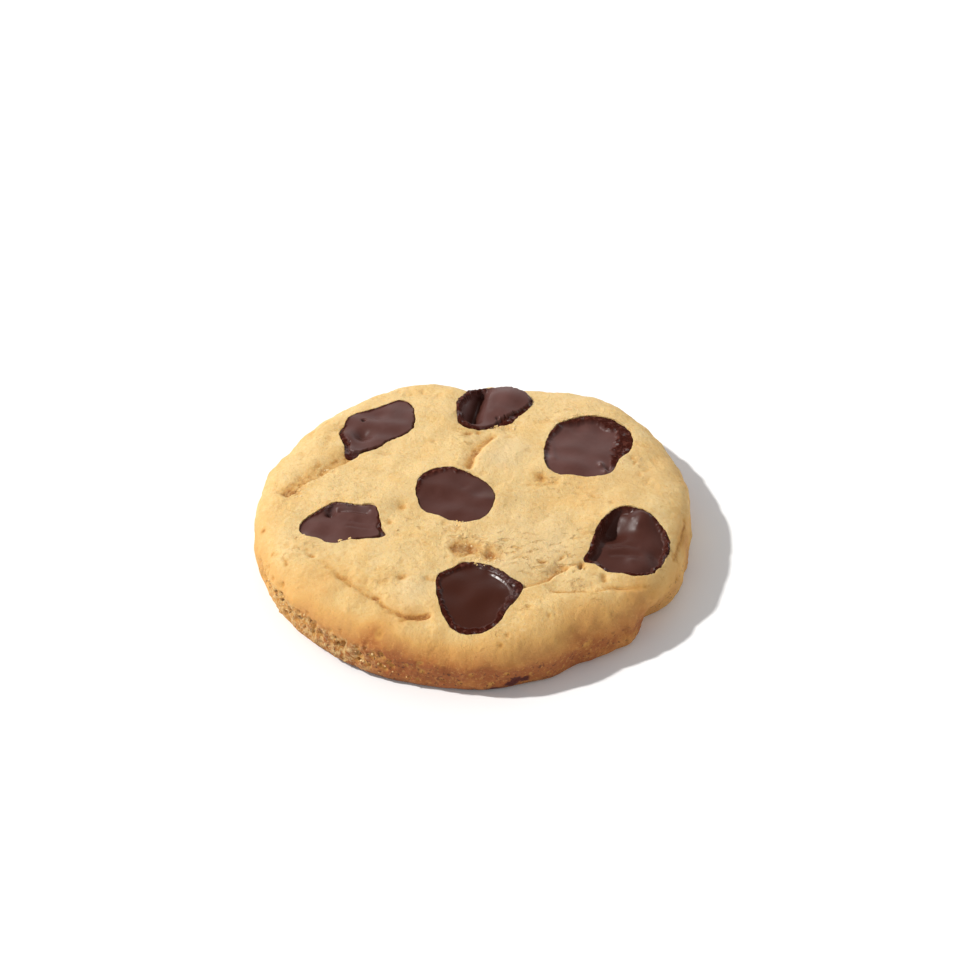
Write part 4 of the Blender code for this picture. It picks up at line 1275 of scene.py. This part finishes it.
def chocolate_material():
    """Dark chocolate: satin where it melted flat, with a faint bloom and painted reflection, rough and glinting
    round the rim.
    """
    material, tree, shader = new_material("dark_chocolate")
    place = node(tree, "ShaderNodeTexCoord").outputs["Object"]
    bloom = noise(tree, place, *BLOOM_NOISE)
    rough = attribute(tree, "rough")
    gloss = attribute(tree, "gloss")
    # The faint bloom and the painted reflection, mottled by the bloom noise
    bloom_and_sheen_share = times(tree, attribute(tree, "bloom_and_sheen"), spread(tree, bloom, *BLOOM_AND_SHEEN_RANGE))
    flecks = times(tree, rough, spread(tree, noise(tree, place, *FLECK_NOISE), *FLECK_RANGE))
    glints = times(tree, rough, spread(tree, noise(tree, place, *GLINT_NOISE), *GLINT_RANGE))
    colour = mix(tree, bloom_and_sheen_share, CHOCOLATE_BROWN, CHOCOLATE_BLOOM_AND_SHEEN)
    colour = mix(tree, times(tree, rough, RIM_STRENGTH), colour, CHOCOLATE_RIM)
    colour = mix(tree, flecks, colour, CHOCOLATE_SPECK)
    satin = spread(tree, bloom, *SATIN_RANGE)
    dull = spread(tree, rough, 0.0, 1.0, *RIM_SPECULAR)
    shine = calculate(tree, "MULTIPLY_ADD", gloss, GLOSS_SPECULAR, dull)
    grainy = noise(tree, place, *GRAINY_NOISE)
    inputs = {
        "Base Color": colour,
        "Roughness": calculate(tree, "SUBTRACT", satin, times(tree, gloss, GLOSS_SMOOTHS)),
        "Specular IOR Level": calculate(tree, "ADD", glints, shine),
        "Normal": bump(tree, grainy, spread(tree, rough, 0.0, 1.0, *RIM_BUMP), GRAINY_DISTANCE),
    }
    connect(tree, shader, inputs)
    return material


def crumb_material():
    """Crumbs: the dough's own pale inside, uneven in colour."""
    material, tree, shader = new_material("pale_crumb")
    place = node(tree, "ShaderNodeTexCoord").outputs["Object"]
    uneven = spread(tree, noise(tree, place, *CRUMB_NOISE), *CRUMB_RANGE)
    connect(tree, shader, {"Base Color": mix(tree, uneven, GOLD_DOUGH, CREAM_DOUGH), **CRUMB_SHADER})
    return material


def add_table():
    """A plain white table under the cookie."""
    material, tree, shader = new_material("white_table")
    connect(tree, shader, TABLE_SHADER)
    mesh = bpy.data.meshes.new("table_top")
    corners = [(x * TABLE_HALF, y * TABLE_HALF, 0) for x, y in ((-1, -1), (1, -1), (1, 1), (-1, 1))]
    mesh.from_pydata(corners, [], [(0, 1, 2, 3)])
    mesh.materials.append(material)
    table = bpy.data.objects.new("table_top", mesh)
    bpy.context.scene.collection.objects.link(table)


def add_light():
    """The key as a sun, and the room as a white sky, a little brighter low down and behind."""
    key = bpy.data.lights.new("key", "SUN")
    key.energy = KEY_STRENGTH
    key.angle = np.radians(KEY_ANGLE)
    key.color = KEY_COLOUR
    lamp = bpy.data.objects.new("key", key)
    lamp.rotation_euler = Vector(KEY_FROM).to_track_quat("Z", "Y").to_euler()
    bpy.context.scene.collection.objects.link(lamp)
    world = bpy.data.worlds.new("white_room")
    world.use_nodes = True
    tree = world.node_tree
    place = node(tree, "ShaderNodeTexCoord").outputs["Generated"]
    parts = node(tree, "ShaderNodeSeparateXYZ", {"Vector": place})
    level = spread(tree, parts.outputs["Z"], *ROOM_UPWARDS)
    behind = spread(tree, parts.outputs["Y"], *ROOM_BACKWARDS)
    strength = times(tree, times(tree, level, behind), ROOM_STRENGTH)
    connect(tree, tree.nodes["Background"], {"Color": ROOM_COLOUR, "Strength": strength})
    bpy.context.scene.world = world
    bpy.context.scene.view_settings.view_transform = "Standard"


def add_camera():
    """The camera, turned down by the pitch and moved so that the table's middle falls on its pixel."""
    across = (ORIGIN_PIXEL[0] - PICTURE_PIXELS / 2) / FOCAL_PIXELS
    down = (ORIGIN_PIXEL[1] - PICTURE_PIXELS / 2) / FOCAL_PIXELS
    sight = np.array((across, down, 1.0))
    sight *= CAMERA_DISTANCE * MM / np.linalg.norm(sight)
    pitch = np.radians(CAMERA_PITCH)
    right = np.array((1.0, 0.0, 0.0))
    ahead = np.array((0.0, np.cos(pitch), -np.sin(pitch)))
    lower = np.array((0.0, -np.sin(pitch), -np.cos(pitch)))
    data = bpy.data.cameras.new("camera")
    data.sensor_width = SENSOR_WIDTH
    data.lens = SENSOR_WIDTH * FOCAL_PIXELS / PICTURE_PIXELS
    data.clip_start = NEAREST_SIGHT * MM
    camera = bpy.data.objects.new("camera", data)
    camera.location = -(right * sight[0] + lower * sight[1] + ahead * sight[2])
    camera.rotation_euler = (np.pi / 2 - pitch, 0, 0)
    bpy.context.scene.collection.objects.link(camera)
    bpy.context.scene.camera = camera


add_camera()
add_light()
add_table()
dough = dough_material()
chocolate = chocolate_material()
add_biscuit(dough)
add_chocolates(chocolate)
add_crumbs(crumb_material())
